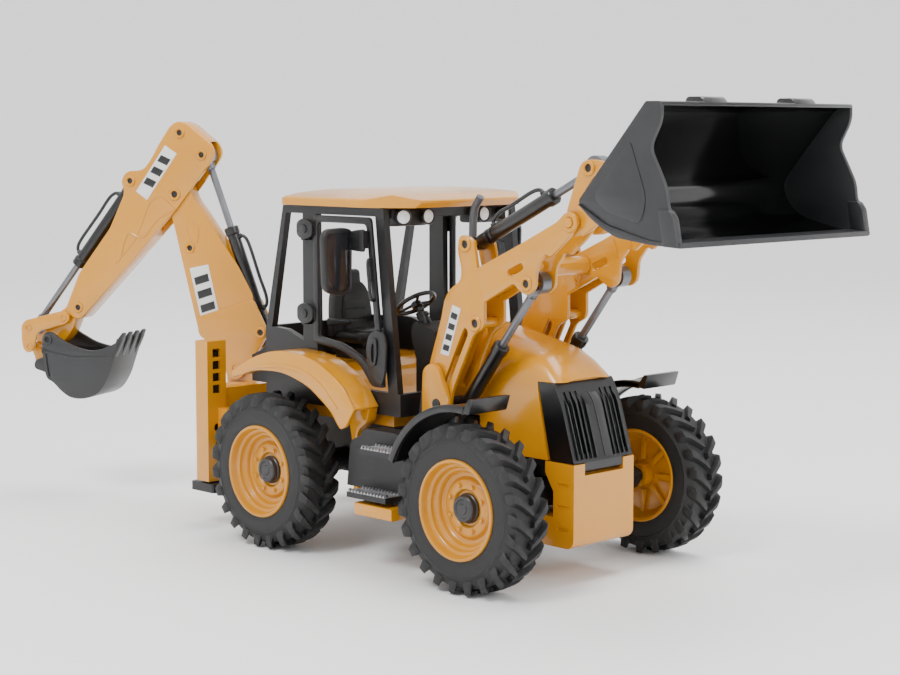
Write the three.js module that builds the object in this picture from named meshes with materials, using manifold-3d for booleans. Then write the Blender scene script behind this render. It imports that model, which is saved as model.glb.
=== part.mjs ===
import * as THREE from "three";
import { mergeVertices } from "three/addons/utils/BufferGeometryUtils.js";
import Module from "manifold-3d";

// Toy backhoe loader, 1:16, in millimetres. +X runs to the loader bucket, +Z is up, -Y is the
// right-hand side. Lengths below are laid out from the ground point under the rear axle; ORIGIN
// moves that layout so that the origin is the bottom centre of the whole machine.
const ORIGIN = { x: 22.555, y: 0 };

// Wheels
const WHEELBASE = 163.8;
const AXLE_Z = 46;
const TYRE_R = 46;
const TYRE_SIDES = 32;
const TYRE_IN = 61.9;
const TYRE_OUT = 86.5;
const RIM_R = 27.5;
const RIM_LIP = 87;
const STUB_R = 4;
const GAP = 0.35;

// Loader: arm pivot, cylinder pins and hitch in the x,z plane
const ARM_PIVOT = [110.5, 93.5];
const LIFT_BASE = [105, 73];
const LIFT_EYE = [174.5, 164.2];
const TILT_BASE = [128.7, 183.4];
const TILT_EYE = [215.4, 226.3];
const HITCH = [205.3, 198];
const CYLINDER_Y = 33;
const TOWER = { inner: 44.3, outer: 47.5 };
const ARM_PLATES = [[25.3, 27.6], [41, 43.6]];

// Backhoe: swing post on the rear frame, arm swung to the right. Its points are [reach, z]
const SWING = { x: -90, deg: 25 };
const BOOM_FOOT = [23.5, 91.5];
const DIPPER_BASE = [5.5, 115.5];
const DIPPER_PIVOT = [66.7, 204.2];
const DIPPER_EYE = [46.7, 229.9];
const BUCKET_BASE = [99.6, 212.6];
const LEVER_PIVOT = [151, 120.5];
const LEVER_EYE = [178.5, 112.5];
const LEVER_END = [178, 99.5];
const LINK_END = [173.5, 87];
const BUCKET_PIVOT = [159.6, 105.8];

// Cab
const CAB = { half: 54.3, wall: 4.3, top: 201.5, rear: -14, floor: 76 };
const HINGE = { x: 10, y: 57.2 };
const WHEEL_CENTRE = [44, 142.8];
const STEER_TILT = 35;

const PAINT = { color: 0xe8960c, roughness: 0.35, metalness: 0 };
const BLACK = { color: 0x17181a, roughness: 0.5, metalness: 0 };
const RUBBER = { color: 0x1d1d1f, roughness: 0.8, metalness: 0 };
const STEEL = { color: 0x8b8f94, roughness: 0.3, metalness: 0.8 };
const GREY = { color: 0x2c2e31, roughness: 0.45, metalness: 0.1 };

const wasm = await Module();
wasm.setup();

const root = new THREE.Group();
root.name = "toy_backhoe_loader";

// Solids are made with three and joined or cut as manifolds
function solid(geometry) {
  const bare = geometry.clone();
  bare.deleteAttribute("normal");
  bare.deleteAttribute("uv");
  const merged = mergeVertices(bare, 1e-4);
  return new wasm.Manifold(new wasm.Mesh({
    numProp: 3,
    vertProperties: new Float32Array(merged.attributes.position.array),
    triVerts: new Uint32Array(merged.index.array),
  }));
}

function join(...bodies) {
  return bodies.reduce((sum, body) => sum.add(body));
}

function moved(body, x, y, z) {
  return body.translate([x, y, z]);
}

function mirrored(body) {
  return body.mirror([0, 1, 0]);
}

// Shape from points [x, y] or [x, y, radius]; corners with a radius are rounded
function outline(points) {
  const shape = new THREE.Shape();
  const n = points.length;
  points.forEach((p, i) => {
    const corner = new THREE.Vector2(p[0], p[1]);
    const before = new THREE.Vector2(...points[(i + n - 1) % n].slice(0, 2));
    const after = new THREE.Vector2(...points[(i + 1) % n].slice(0, 2));
    const radius = Math.min(p[2] ?? 0, 0.48 * corner.distanceTo(before), 0.48 * corner.distanceTo(after));
    const start = before.sub(corner).setLength(radius).add(corner);
    const end = after.sub(corner).setLength(radius).add(corner);
    if (i === 0) shape.moveTo(start.x, start.y);
    else shape.lineTo(start.x, start.y);
    if (radius > 0) shape.quadraticCurveTo(corner.x, corner.y, end.x, end.y);
  });
  return shape;
}

function extruded(points, depth) {
  return new THREE.ExtrudeGeometry(outline(points), { depth, bevelEnabled: false, curveSegments: 2 });
}

// Side profile in x,z between two y
function plate(points, y0, y1) {
  return solid(extruded(points, y1 - y0).rotateX(Math.PI / 2).translate(0, y1, 0));
}

// Plan in x,y between two z
function slab(points, z0, z1) {
  return solid(extruded(points, z1 - z0).translate(0, 0, z0));
}

// Front profile in y,z between two x
function wall(points, x0, x1) {
  return solid(extruded(points, x1 - x0).rotateX(Math.PI / 2).rotateZ(Math.PI / 2).translate(x0, 0, 0));
}

function box(x0, x1, y0, y1, z0, z1) {
  const geometry = new THREE.BoxGeometry(x1 - x0, y1 - y0, z1 - z0);
  return solid(geometry.translate((x0 + x1) / 2, (y0 + y1) / 2, (z0 + z1) / 2));
}

// Round bar along Y at [x, z]
function pin([x, z], radius, y0, y1, segments = 12) {
  const geometry = new THREE.CylinderGeometry(radius, radius, y1 - y0, segments);
  return solid(geometry.translate(x, (y0 + y1) / 2, z));
}

// Round bar between two points
function bar(from, to, radius, segments = 10) {
  const a = new THREE.Vector3(...from);
  const b = new THREE.Vector3(...to);
  const along = b.clone().sub(a);
  const geometry = new THREE.CylinderGeometry(radius, radius, along.length(), segments);
  geometry.translate(0, along.length() / 2, 0);
  const turn = new THREE.Quaternion().setFromUnitVectors(new THREE.Vector3(0, 1, 0), along.normalize());
  return solid(geometry.applyQuaternion(turn).translate(a.x, a.y, a.z));
}

// Bent rod swept along points
function rod(points, radius, segments = 3, steps = 8) {
  const curve = new THREE.CatmullRomCurve3(points.map((p) => new THREE.Vector3(...p)), false, "chordal");
  const shape = new THREE.Shape();
  shape.absarc(0, 0, radius, 0, 2 * Math.PI);
  return solid(new THREE.ExtrudeGeometry(shape, { steps, curveSegments: segments, extrudePath: curve }));
}

// Solid of revolution about the wheel axis; profile of [radius, |y|] going round the section
function turned(profile, segments) {
  const points = profile.map(([r, y]) => new THREE.Vector2(r, y));
  return solid(new THREE.LatheGeometry(points, segments));
}

function add(name, body, look) {
  const mesh = body.translate([-ORIGIN.x, -ORIGIN.y, 0]).getMesh();
  const geometry = new THREE.BufferGeometry();
  const positions = new THREE.BufferAttribute(new Float32Array(mesh.vertProperties), 3);
  geometry.setAttribute("position", positions);
  geometry.setIndex(new THREE.BufferAttribute(new Uint32Array(mesh.triVerts), 1));
  const faceted = geometry.toNonIndexed();
  faceted.computeVertexNormals();
  const piece = new THREE.Mesh(faceted, new THREE.MeshStandardMaterial(look));
  piece.name = name;
  root.add(piece);
}

function addPair(name, body, look) {
  add(`${name}_left`, body, look);
  add(`${name}_right`, mirrored(body), look);
}

function along(a, b, t) {
  return [a[0] + (b[0] - a[0]) * t, a[1] + (b[1] - a[1]) * t];
}

// ---------------------------------------------------------------- running gear

function rimBody() {
  const profile = [[0, 62.6], [8, 62.6], [9, 68], [21, 66], [25, TYRE_IN + 0.6], [RIM_R - 0.4, TYRE_IN + 0.6],
    [RIM_R - 0.4, RIM_LIP], [25.2, RIM_LIP], [22, 80], [19.5, 79.5], [17, 75.5], [9, 74], [8, 80.7], [0, 80.7]];
  const disc = turned(profile, 20);
  return disc.subtract(solid(new THREE.CylinderGeometry(STUB_R + GAP, STUB_R + GAP, 10, 20).translate(0, 66.5, 0)));
}

function tyreBody() {
  const tread = TYRE_R / Math.cos(Math.PI / TYRE_SIDES);
  const profile = [[RIM_R, TYRE_IN], [38, TYRE_IN], [44, 63.5], [tread, 66], [tread, 82.4], [44, 85],
    [38, TYRE_OUT], [RIM_R, TYRE_OUT], [RIM_R, TYRE_IN]];
  return turned(profile, TYRE_SIDES).rotate([0, 180 / TYRE_SIDES, 0]);
}

const AXLES = { rear: 0, front: WHEELBASE };
for (const [end, x] of Object.entries(AXLES)) {
  const half = join(pin([0, 0], STUB_R, -71, 71), pin([0, 0], 7, -58, 58, 24));
  add(`${end}_axle`, moved(half, x, 0, AXLE_Z), GREY);
  addPair(`${end}_rim`, moved(rimBody(), x, 0, AXLE_Z), PAINT);
  addPair(`${end}_tyre`, moved(tyreBody(), x, 0, AXLE_Z), RUBBER);
}

// ---------------------------------------------------------------- chassis and towers

const towerSide = [[96, 62], [96.2, 88], [98.8, 105.3, 2], [98.8, 112, 4], [105.2, 116, 3], [111, 114, 4],
  [118, 99, 3], [119.4, 94.7, 3], [114, 76], [116, 62]];
const tower = join(
  plate(towerSide, TOWER.inner, TOWER.outer),
  pin(ARM_PIVOT, 3, 25.4, TOWER.outer + 1),
  pin(LIFT_BASE, 2.6, 28, TOWER.outer - 1),
  box(96, 116, 17, TOWER.outer, 56, 64),
);
const frameRail = join(
  box(-64, 156, -18, 18, 38, 58),
  box(-56, 78, -18, 18, 57, 75.5),
  box(78, 150, -20, 20, 57, 83.6),
  box(150, 171, -14, 14, 55, 66),
);
const axleBores = join(pin([0, AXLE_Z], 7 + GAP, -20, 20, 24), pin([WHEELBASE, AXLE_Z], 7 + GAP, -20, 20, 24));
const stepHangers = box(70, 92, -57, 57, 44, 52);
const chassis = join(frameRail, tower, mirrored(tower), stepHangers);
add("chassis", chassis.subtract(axleBores), BLACK);

const boxSide = [[150, 20], [190, 19.6, 3], [192.9, 23, 2], [192.9, 66], [186, 66.2], [172, 66.2], [172, 60],
  [178, 50], [178, 36], [150, 36]];
const frontNotch = plate([[188, 59.5], [200, 59.5], [200, 70], [188, 70]], -16, 16);
const grooves = join(...[-1, 1].flatMap((side) => [30, 42, 54].map((z) =>
  box(181, 189, side * 25 - 0.6, side * 25 + 0.6, z - 1, z + 1))));
add("front_box", plate(boxSide, -25, 25).subtract(frontNotch).subtract(grooves), PAINT);

// ---------------------------------------------------------------- hood and grille

function hoodShell(inset, floor) {
  const side = [[88.4 + inset, floor], [88.4 + inset, 140.4 - inset, 3], [119, 135 - inset, 8], [162, 126 - inset, 10],
    [179 - inset, 112 - inset, 3], [177.5 - inset, 109.4], [165.3 - inset, 109.4], [174.5 - inset, floor]];
  const half = 24.9 - inset;
  const front = [[-half, floor - 2], [half, floor - 2], [half, 98], [half - 1, 112 - inset, 4],
    [half - 8, 127 - inset, 6], [9, 143 - inset, 5], [-9, 143 - inset, 5], [8 - half, 127 - inset, 6],
    [1 - half, 112 - inset, 4], [-half, 98]];
  return plate(side, -60, 60).intersect(wall(front, 60, 220));
}
const PIPE = { x: 109.5, y: -18, radius: 2.5 };
const pipeHole = bar([PIPE.x, PIPE.y, 95], [PIPE.x, PIPE.y, 150], PIPE.radius + GAP);
const hood = hoodShell(0, 66.6).subtract(hoodShell(1.8, 60)).subtract(box(80, 122, -60, 60, 50, 86)).subtract(pipeHole);
add("hood", hood, PAINT);

const grilleSide = [[166, 109], [177, 109, 1], [183, 98, 4], [192.4, 66.4], [192.4, 62], [189, 59.9], [189, 66.6],
  [175.4, 66.6]];
const ribs = join(...[-1, 1].flatMap((side) => [10, 14.5, 19].map((y) =>
  plate([[172, 104], [184.5, 104], [194, 74], [194, 71], [184, 71]], side * y - 0.9, side * y + 0.9)
    .subtract(plate([[160, 106], [178, 106], [181.5, 98], [189, 71], [160, 71]], -30, 30)))));
const grilleCut = join(box(185, 200, 15.7, 30, 50, 66.6), box(185, 200, -30, -15.7, 50, 66.6));
add("grille", plate(grilleSide, -24.5, 24.5).subtract(grilleCut).subtract(ribs), BLACK);

add("exhaust_pipe", rod([[PIPE.x, PIPE.y, 100], [PIPE.x, PIPE.y, 140], [PIPE.x, PIPE.y, 188], [PIPE.x + 1, PIPE.y, 200],
  [PIPE.x + 6, PIPE.y, 208.5]], PIPE.radius, 4, 10), GREY);

// ---------------------------------------------------------------- cab

const sideWall = plate([[-31, CAB.floor + 8], [-31, 128], [-12, 127], [9, 120], [20, 113], [37, 103], [45, 97],
  [88, 97], [88, CAB.floor + 8]], CAB.half - CAB.wall, CAB.half);
const pillars = join(
  plate([[4, 100], [4, 201], [16, 201], [17, 100]], CAB.half - CAB.wall, CAB.half),
  plate([[67, 201], [74, 201], [86.5, 92], [78.5, 92]], CAB.half - CAB.wall, CAB.half),
  plate([[-14, 201], [-10.5, 201], [-25.5, 125], [-31, 125]], CAB.half - CAB.wall, CAB.half),
  box(CAB.rear, 74, CAB.half - CAB.wall, CAB.half, 197, CAB.top),
);
const crossBars = join(
  box(CAB.rear, CAB.rear + 4, -CAB.half, CAB.half, 197, CAB.top),
  box(62, 66, -CAB.half, CAB.half, 197, CAB.top),
  box(-31, -27.5, -CAB.half, CAB.half, 118, 128),
  box(84, 88, -CAB.half, CAB.half, CAB.floor + 8, 97),
).subtract(box(82, 90, -26, 26, 84.5, 140));
const hingeLugs = join(...[187.5, 137.8].map((z) => slab([[4, 53], [12, 53], [12, 59.5, 2], [8, 59.5, 2], [4, 55]],
  z - 6, z - 2.4)));
const hingePins = join(...[187.5, 137.8].map((z) => bar([HINGE.x, HINGE.y, z - 4], [HINGE.x, HINGE.y, z + 2.4], 1.2, 8)));
const cabSide = join(sideWall, pillars, hingeLugs, hingePins);
const lowBar = box(80, 84, -CAB.half, CAB.half, CAB.floor + 8, 90);
add("cab_frame", join(cabSide, mirrored(cabSide), crossBars, lowBar), BLACK);

const roofSide = [[-11.7, 202], [-12.5, 204, 1], [-4.3, 208.4, 4], [10.3, 211.2, 4], [49.5, 212, 8],
  [72.4, 210.7, 6], [91, 206.2, 3], [88, 202]];
const roofPlan = [[-13, -60, 8], [66, -60, 5], [77, -52, 5], [92, -40, 8], [92, 40, 8], [77, 52, 5], [66, 60, 5],
  [-13, 60, 8]];
const roofFront = [[-60.5, 201], [60.5, 201], [60.5, 206.5, 3], [50, 209.8, 5], [30, 212.4, 6], [-30, 212.4, 6],
  [-50, 209.8, 5], [-60.5, 206.5, 3]];
const roof = plate(roofSide, -61, 61).intersect(slab(roofPlan, 200, 215)).intersect(wall(roofFront, -20, 95));
const roofPads = box(0, 60, -46, 46, 200, 206);
add("roof", roof.subtract(roofPads), PAINT);

function pod(y, turn) {
  const cup = new THREE.CylinderGeometry(4.6, 3.4, 8, 12).rotateZ(-Math.PI / 2);
  return solid(cup.rotateZ(turn).translate(74.5, y, 196.6));
}
const lampBar = join(box(67, 72, -49, 49, 196, 201.4), ...[-1, 1].flatMap((s) => [pod(s * 23, 0),
  pod(s * 40.5, s * 0.45)]));
add("lamp_bar", lampBar, BLACK);

add("cab_floor", plate([[-26.8, 77], [-26.8, 106], [8, 106, 4], [20, 100, 4], [30, 88, 3], [37, 84], [77.6, 84],
  [77.6, 77]], CAB.wall + 0.4 - CAB.half, CAB.half - CAB.wall - 0.4), PAINT);

const seatBase = join(slab([[-18, -10, 2], [4, -10, 2], [4, 10, 2], [-18, 10, 2]], 106.3, 113),
  slab([[-16, -7, 2], [2, -7, 2], [2, 7, 2], [-16, 7, 2]], 112, 116.2));
add("seat_base", seatBase, BLACK);
const backrest = plate([[-17, 118], [-9, 118], [-11.5, 149, 2], [-13, 152, 1.5], [-18, 152, 2], [-20, 148, 2]], -16, 16);
const headrest = plate([[-19.5, 150], [-13, 150], [-14, 160, 3], [-20, 160, 3]], -8, 8);
const armrest = plate([[-15, 126], [6, 128.5, 1.5], [6, 131.5, 1.5], [-15, 131]], 16, 19.5);
const cushion = slab([[-17, -15, 3], [11, -16, 4], [11, 16, 4], [-17, 15, 3]], 116.5, 123);
const armPost = box(-15, -11, 15, 19, 120, 131);
const arms = join(armrest, armPost);
add("seat", join(cushion, backrest, headrest, arms, mirrored(arms)), BLACK);

const dash = plate([[62, 84.3], [62, 112], [57, 128, 3], [60, 134, 2], [78, 130, 3], [79.5, 84.3]], -17, 17);
const tilt = THREE.MathUtils.degToRad(STEER_TILT);
const steerAxis = [-Math.sin(tilt), Math.cos(tilt)];
function steerPoint(distance) {
  return [WHEEL_CENTRE[0] + steerAxis[0] * distance, 0, WHEEL_CENTRE[1] + steerAxis[1] * distance];
}
const columnPost = join(bar(steerPoint(-28), steerPoint(-6.6), 3, 14), bar(steerPoint(-8), steerPoint(0), 1.3, 12));
add("steering_column", join(dash, columnPost), BLACK);
const ring = new THREE.TorusGeometry(12, 1.3, 6, 20);
const spokes = join(...[90, 210, 330].map((deg) => {
  const a = THREE.MathUtils.degToRad(deg);
  return bar([0, 0, 0], [12 * Math.cos(a), 12 * Math.sin(a), 0], 1, 8);
}));
const hub = solid(new THREE.CylinderGeometry(3.2, 3.6, 3.6, 20).rotateX(Math.PI / 2)).translate([0, 0, -1]);
const wheelFlat = join(solid(ring), spokes, hub)
  .subtract(solid(new THREE.CylinderGeometry(1.3 + GAP, 1.3 + GAP, 4, 12).rotateX(Math.PI / 2)).translate([0, 0, -1.6]));
add("steering_wheel", wheelFlat.rotate([0, -STEER_TILT, 0]).translate([WHEEL_CENTRE[0], 0, WHEEL_CENTRE[1]]), BLACK);

// Door: an open frame round one window, hung on the B-pillar
const doorSide = [[16.6, 121.5, 2], [16.6, 196.5, 3], [66.3, 196.5, 3], [76.3, 112, 3], [77, 100, 2], [67, 100, 3],
  [57, 112, 5], [40, 119, 6]];
const doorWindow = [[20.8, 125.6, 2], [20.8, 192.5, 3], [62.8, 192.5, 3], [72.2, 112.5, 2], [72.6, 104.4, 1],
  [69.4, 104.4, 2], [59.8, 115.8, 5], [42, 123.2, 6]];
const doorPlate = plate(doorSide, 54.9, 57.4).subtract(plate(doorWindow, 50, 60));
const knuckles = join(...[187.5, 137.8].map((z) => join(
  bar([HINGE.x, HINGE.y, z - 2], [HINGE.x, HINGE.y, z + 3.4], 2.4, 10),
  box(HINGE.x, 19, HINGE.y - 1, HINGE.y + 1, z - 2, z + 3.4))));
const knuckleBores = join(...[187.5, 137.8].map((z) => bar([HINGE.x, HINGE.y, z - 8], [HINGE.x, HINGE.y, z + 2.8],
  1.2 + GAP, 8)));
const latch = plate([[67.5, 112, 2], [66.5, 128, 3], [70, 131, 3], [79, 131, 3], [82.4, 126, 3], [81.4, 110, 3]], 57, 60);
const handle = bar([69.8, 60, 149], [67.2, 60, 173], 1.1, 6);
const handlePosts = join(bar([69.7, 56, 150], [69.7, 60, 150], 1.2, 6), bar([67.3, 56, 172], [67.3, 60, 172], 1.2, 6));
addPair("door", join(doorPlate, knuckles, latch, handle, handlePosts).subtract(knuckleBores), BLACK);

// Mirror facing along the cab, on a flat bracket from the front edge of the door
const mirrorHead = wall([[60.4, 156, 3], [59.6, 190, 4], [82, 190, 4], [80.6, 154, 4], [63, 152, 4]], 50.5, 54.5);
const mirrorArm = plate([[54, 178, 1], [54, 188, 1], [65.4, 190, 1], [65.4, 177, 1]], 60.2, 62);
const mirrorFoot = box(62, 65.4, 57.75, 61, 179, 189);
addPair("mirror", join(mirrorHead, mirrorArm, mirrorFoot), BLACK);

const housing = plate([[-50, 92], [-50, 108], [-38, 113, 3], [-33.2, 127, 4], [-31.4, 127], [-31.4, 92]], -50, 50);
const housingCuts = join(...[0, 1, 2, 3, 4, 5, 6, 7, 8].map((i) => box(-60, -35, -42 + i * 10, -38 + i * 10, 109, 130)))
  .subtract(plate([[-52, 90], [-52, 107], [-38, 111.6], [-34.4, 126], [-30, 126], [-30, 90]], -60, 60));
add("rear_housing", housing.subtract(housingCuts), BLACK);

// ---------------------------------------------------------------- fenders and steps

const fenderTop = [[-39.5, 101], [-31, 106, 4], [-19, 111.6, 8], [2, 117.4, 12], [25, 116.4, 10], [39, 113.6, 8],
  [59.5, 103, 8], [71, 88.6, 2]];
const fenderUnder = [[68, 87], [57, 99.5, 8], [37, 110, 8], [24, 112.6, 10], [2, 113.6, 12], [-18, 108, 8], [-38, 98]];
const fenderFlank = [[71, 88.6], [59.5, 103, 8], [39, 113.6, 8], [25, 116.4, 10], [2, 117.4, 12], [-19, 111.6, 8],
  [-39.5, 101, 1], [-39.5, 97, 1], [-18, 103.5, 8], [8, 104.6, 10], [31, 98.5, 8], [50, 86.5, 4], [59, 76, 2], [64, 78, 3]];
const rearFender = join(plate([...fenderTop, ...fenderUnder], 54.8, 74), plate(fenderFlank, 72, 74.6),
  plate([[50, 87], [54, 74], [56, 60], [56, 40], [59.5, 40], [59.5, 74], [68, 80], [70, 89], [58, 100]], 54.8, 61.6));
addPair("rear_fender", rearFender, PAINT);

// Front fender: a band bent round the wheel with a turned-up front lip
function arc(cx, cz, radius, from, to, steps) {
  return Array.from({ length: steps + 1 }, (_, i) => {
    const a = THREE.MathUtils.degToRad(from + ((to - from) * i) / steps);
    return [cx + radius * Math.cos(a), cz + radius * Math.sin(a)];
  });
}
const fenderBand = [...arc(WHEELBASE, AXLE_Z, 55.4, 158, 84, 12), [173, 106], [176, 106], [173.6, 98.6],
  ...arc(WHEELBASE, AXLE_Z, 52.6, 80, 158, 12)];
const frontFenderStay = join(box(128, 136, 17.6, 60, 60, 66), plate([[118, 56], [118, 66], [130, 92], [138, 92], [138, 60]],
  57, 60.6));
const fenderClear = join(box(100, 150, 17, 21, 50, 90));
addPair("front_fender", join(plate(fenderBand, 57, 86), frontFenderStay).subtract(fenderClear), BLACK);

// Steps hang between the wheels, each with two toothed treads
const stepTeeth = (x0, x1, z) => join(...Array.from({ length: Math.floor((x1 - x0) / 4.4) }, (_, i) =>
  box(x0 + 1.6 + i * 4.4, x0 + 4 + i * 4.4, 78.5, 81.5, z - 1, z + 1.4)));
const stepBody = join(
  plate([[60, 44], [63, 70, 3], [71.5, 73.6], [74, 78, 3], [104, 78, 3], [108, 60, 3], [104, 36], [78, 36, 2], [78, 44]], 57.6, 70),
  box(73, 105, 68, 82, 40.5, 43.5), stepTeeth(73, 105, 43.5),
  box(84, 110, 68, 82, 66, 69), stepTeeth(84, 110, 69),
  box(79, 109, 58, 81, 31.6, 37.5),
);
addPair("steps", stepBody, BLACK);

// ---------------------------------------------------------------- loader

const boomerang = [[101, 117, 3], [96, 96, 5], [104, 86, 5], [116, 88, 5], [118, 100, 4], [134.9, 134, 3],
  [143, 138, 4], [142.8, 158.2, 3], [139.1, 163.2, 2], [136.7, 177, 3], [134.5, 187, 4], [124, 189, 4],
  [122.5, 180, 2], [125.6, 169.5, 3], [125, 163.3, 3], [116.9, 158.4, 3], [112.5, 152.8, 4], [109.3, 140.1, 4]];
const frontBeam = [[136, 170, 3], [168.1, 184.5], [196, 198], [204, 205, 4], [212, 199, 4], [205, 190.5, 4],
  [191.3, 179.1, 4], [187.9, 181, 2], [181.5, 173], [180.5, 161.2, 4], [174.5, 157.5, 4], [168, 161, 4],
  [165.1, 164, 3], [141.5, 151.5, 2], [136, 152]];
const slot = [[110.5, 118, 2], [114.5, 119.5, 2], [131.5, 141.5, 2], [128.5, 144.5, 2]];
const beamHole = [[160, 170.5, 2], [171, 175.5, 2], [172.5, 172, 2], [162, 166.5, 2]];
function armPlate(y0, y1) {
  return join(plate(boomerang, y0, y1), plate(frontBeam, y0, y1))
    .subtract(plate(slot, y0 - 1, y1 + 1))
    .subtract(plate(beamHole, y0 - 1, y1 + 1))
    .subtract(pin(ARM_PIVOT, 3 + GAP, y0 - 1, y1 + 1))
    .subtract(pin(HITCH, 2.6 + GAP, y0 - 1, y1 + 1));
}
const armPins = join(pin(LIFT_EYE, 2, 26, 42), pin(TILT_BASE, 2.2, 26, 44.6), pin(LIFT_EYE, 3.6, 43, 44.6),
  pin([136.5, 140.2], 4, 43, 45.4));
const armWeb = join(plate([[138, 153.5], [138, 156], [163, 168.5], [164, 166]], 27, 42),
  plate([[112, 119.5], [108.5, 121], [112, 140], [115, 139]], 27, 42));
const arm = join(...ARM_PLATES.map(([y0, y1]) => armPlate(y0, y1)), armPins, armWeb);
addPair("loader_arm", arm.subtract(pin([155, 170], 4 + GAP, 20, 29.5, 16)), PAINT);
add("arm_cross_tube", join(pin([155, 170], 4, -29.2, 29.2, 16), pin([155, 170], 5.2, -24.6, 24.6, 16)), PAINT);


const BACK_EDGE = [[243.2, 212.7], [261.2, 233.4]];
const carriageSide = [[200.4, 193.5, 4], [199.8, 203, 3], [210, 229.8, 4], [218, 231, 4], [230, 229, 6], [255, 236.5, 2],
  BACK_EDGE[1], BACK_EDGE[0], [241, 208, 3], [225, 200, 5], [212, 191.2, 4], [204, 190.6, 4]];
const carriageBack = plate([...BACK_EDGE, [258.9, 235.4], [240.9, 214.7]], -40.6, 40.6);
const carriageHalf = join(plate(carriageSide, 21.6, 24.7), plate(carriageSide, 37.6, 40.6), pin(HITCH, 2.6, 22, 45),
  pin(HITCH, 4.4, 43.95, 45.4), pin(TILT_EYE, 2, 22, 40.6), pin(TILT_EYE, 3.6, 40, 41.6));
add("hitch_carriage", join(carriageHalf, mirrored(carriageHalf), carriageBack), PAINT);

const bucketSide = [[284.9, 259.5], [294.4, 259.4, 1], [294.5, 250.4, 3], [287.7, 237.5, 3], [293.6, 226.7],
  [298.2, 217.9], [299.2, 209, 2], [303.4, 206, 2], [306.1, 190.5], [289, 191.2], [268.1, 193.9], [260.8, 197.2],
  [251.9, 202.5], [242.3, 210.5]];
const bucketHollow = [[284.2, 255.2, 2], [287.5, 257.3], [320, 257.3], [320, 192.4], [306, 192.4], [289, 193.3],
  [268.6, 196], [261.8, 199.1], [253.2, 204.3], [245.4, 210.8]];
const edgeHook = plate([[281.5, 255.5], [283, 262, 1], [292, 262, 2], [294.4, 259], [294.4, 258], [284, 257.8]], 28, 47);
const endRib = plate([[246, 208.5], [262, 200], [289, 193.4], [304.6, 193], [305.2, 190.6], [289, 191.3], [268.1, 194],
  [260.8, 197.3], [251.9, 202.6], [243.4, 209.8]], 80, 81.4);
const bucketBody = plate(bucketSide, -80.3, 80.3).subtract(plate(bucketHollow, -77.8, 77.8));
add("loader_bucket", join(bucketBody, edgeHook, mirrored(edgeHook), endRib, mirrored(endRib)), GREY);

// ---------------------------------------------------------------- cylinders

// Barrel and rod of a cylinder between two pins; the rod eye has room round its pin
function ram({ base, eye, y, barrel, radius, inside, eyeHole, basePin, width = 3.4 }) {
  const length = Math.hypot(eye[0] - base[0], eye[1] - base[1]);
  const at = (d) => {
    const [x, z] = along(base, eye, d / length);
    return [x, y, z];
  };
  const bore = 2.2 + GAP;
  const tube = join(bar(at(0), at(barrel), radius, 14), bar(at(barrel - 5), at(barrel), radius + 0.7, 14),
    pin(base, radius + 1.6, y - width, y + width))
    .subtract(bar(at(11), at(barrel + 1), bore, 12))
    .subtract(pin(base, basePin + GAP, y - 10, y + 10));
  const shaft = join(bar(at(barrel - inside), at(length - 2), 2.2, 12), pin(eye, eyeHole + 2, y - width, y + width))
    .subtract(pin(eye, eyeHole, y - 10, y + 10));
  return { tube, shaft, at };
}

const lift = ram({ base: LIFT_BASE, eye: LIFT_EYE, y: CYLINDER_Y, barrel: 69.5, radius: 4, inside: 30, eyeHole: 4,
  basePin: 2.6 });
addPair("lift_barrel", lift.tube, BLACK);
addPair("lift_rod", lift.shaft, STEEL);

const tiltRam = ram({ base: TILT_BASE, eye: TILT_EYE, y: CYLINDER_Y, barrel: 63.2, radius: 4, inside: 16, eyeHole: 4.4,
  basePin: 2.2 });
const [tx, ty, tz] = tiltRam.at(6);
const [ux, uy, uz] = tiltRam.at(58);
const tiltHose = rod([[tx, ty, tz], [tx - 1.5, ty, tz + 6], [tx + 6, ty, tz + 12], [ux - 12, uy, uz + 4.6],
  [ux - 2, uy, uz + 6.4], [ux, uy, uz]], 1.1);
addPair("tilt_barrel", join(tiltRam.tube, tiltHose).subtract(bar(tiltRam.at(11), tiltRam.at(80), 2.2 + GAP, 12))
  .subtract(pin(TILT_BASE, 2.2 + GAP, 20, 50)), BLACK);
addPair("tilt_rod", tiltRam.shaft, STEEL);

// ---------------------------------------------------------------- rear frame and stabilizers

const post = box(-81, -69, 55.5, 70, 28.4, 116).subtract(box(-78.6, -71.4, 58.2, 67.3, 20, 113));
const windows = join(...[86, 93.5, 101, 108.5].map((z) => box(-72, -68, 59.6, 65.9, z - 2.6, z + 2.6)));
const keyhole = join(box(-72, -68, 61.6, 63.9, 44, 62), bar([-72, 62.75, 62], [-68, 62.75, 62], 2.6, 10));
const rearSide = join(post.subtract(windows).subtract(keyhole), box(-69.5, -60, 55.8, 62, 60, 74));
const ear = (z0, z1) => slab([[-72, -24], [-72, 24], [-84, 12, 3], [-98, 9, 6], [-98, -9, 6], [-84, -12, 3]], z0, z1);
const rearFrame = join(
  rearSide, mirrored(rearSide),
  box(-79, -70, -56, 56, 38, 50), box(-79, -70, -56, 56, 72, 86), box(-76, -70, -26, 26, 48, 74),
  box(-72, -64.4, -16, 16, 40, 56),
  ear(40, 45), ear(74, 79),
  bar([SWING.x, 0, 42], [SWING.x, 0, 80.5], 3, 20),
);
add("rear_frame", rearFrame, PAINT);

const leg = join(box(-78.1, -71.9, 58.7, 66.8, 26, 109), slab([[-86, 54.5, 2], [-63, 54.5, 2], [-63, 71, 2],
  [-86, 71, 2]], 22, 27.4));
addPair("stabilizer_leg", leg, BLACK);

// ---------------------------------------------------------------- backhoe

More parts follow.
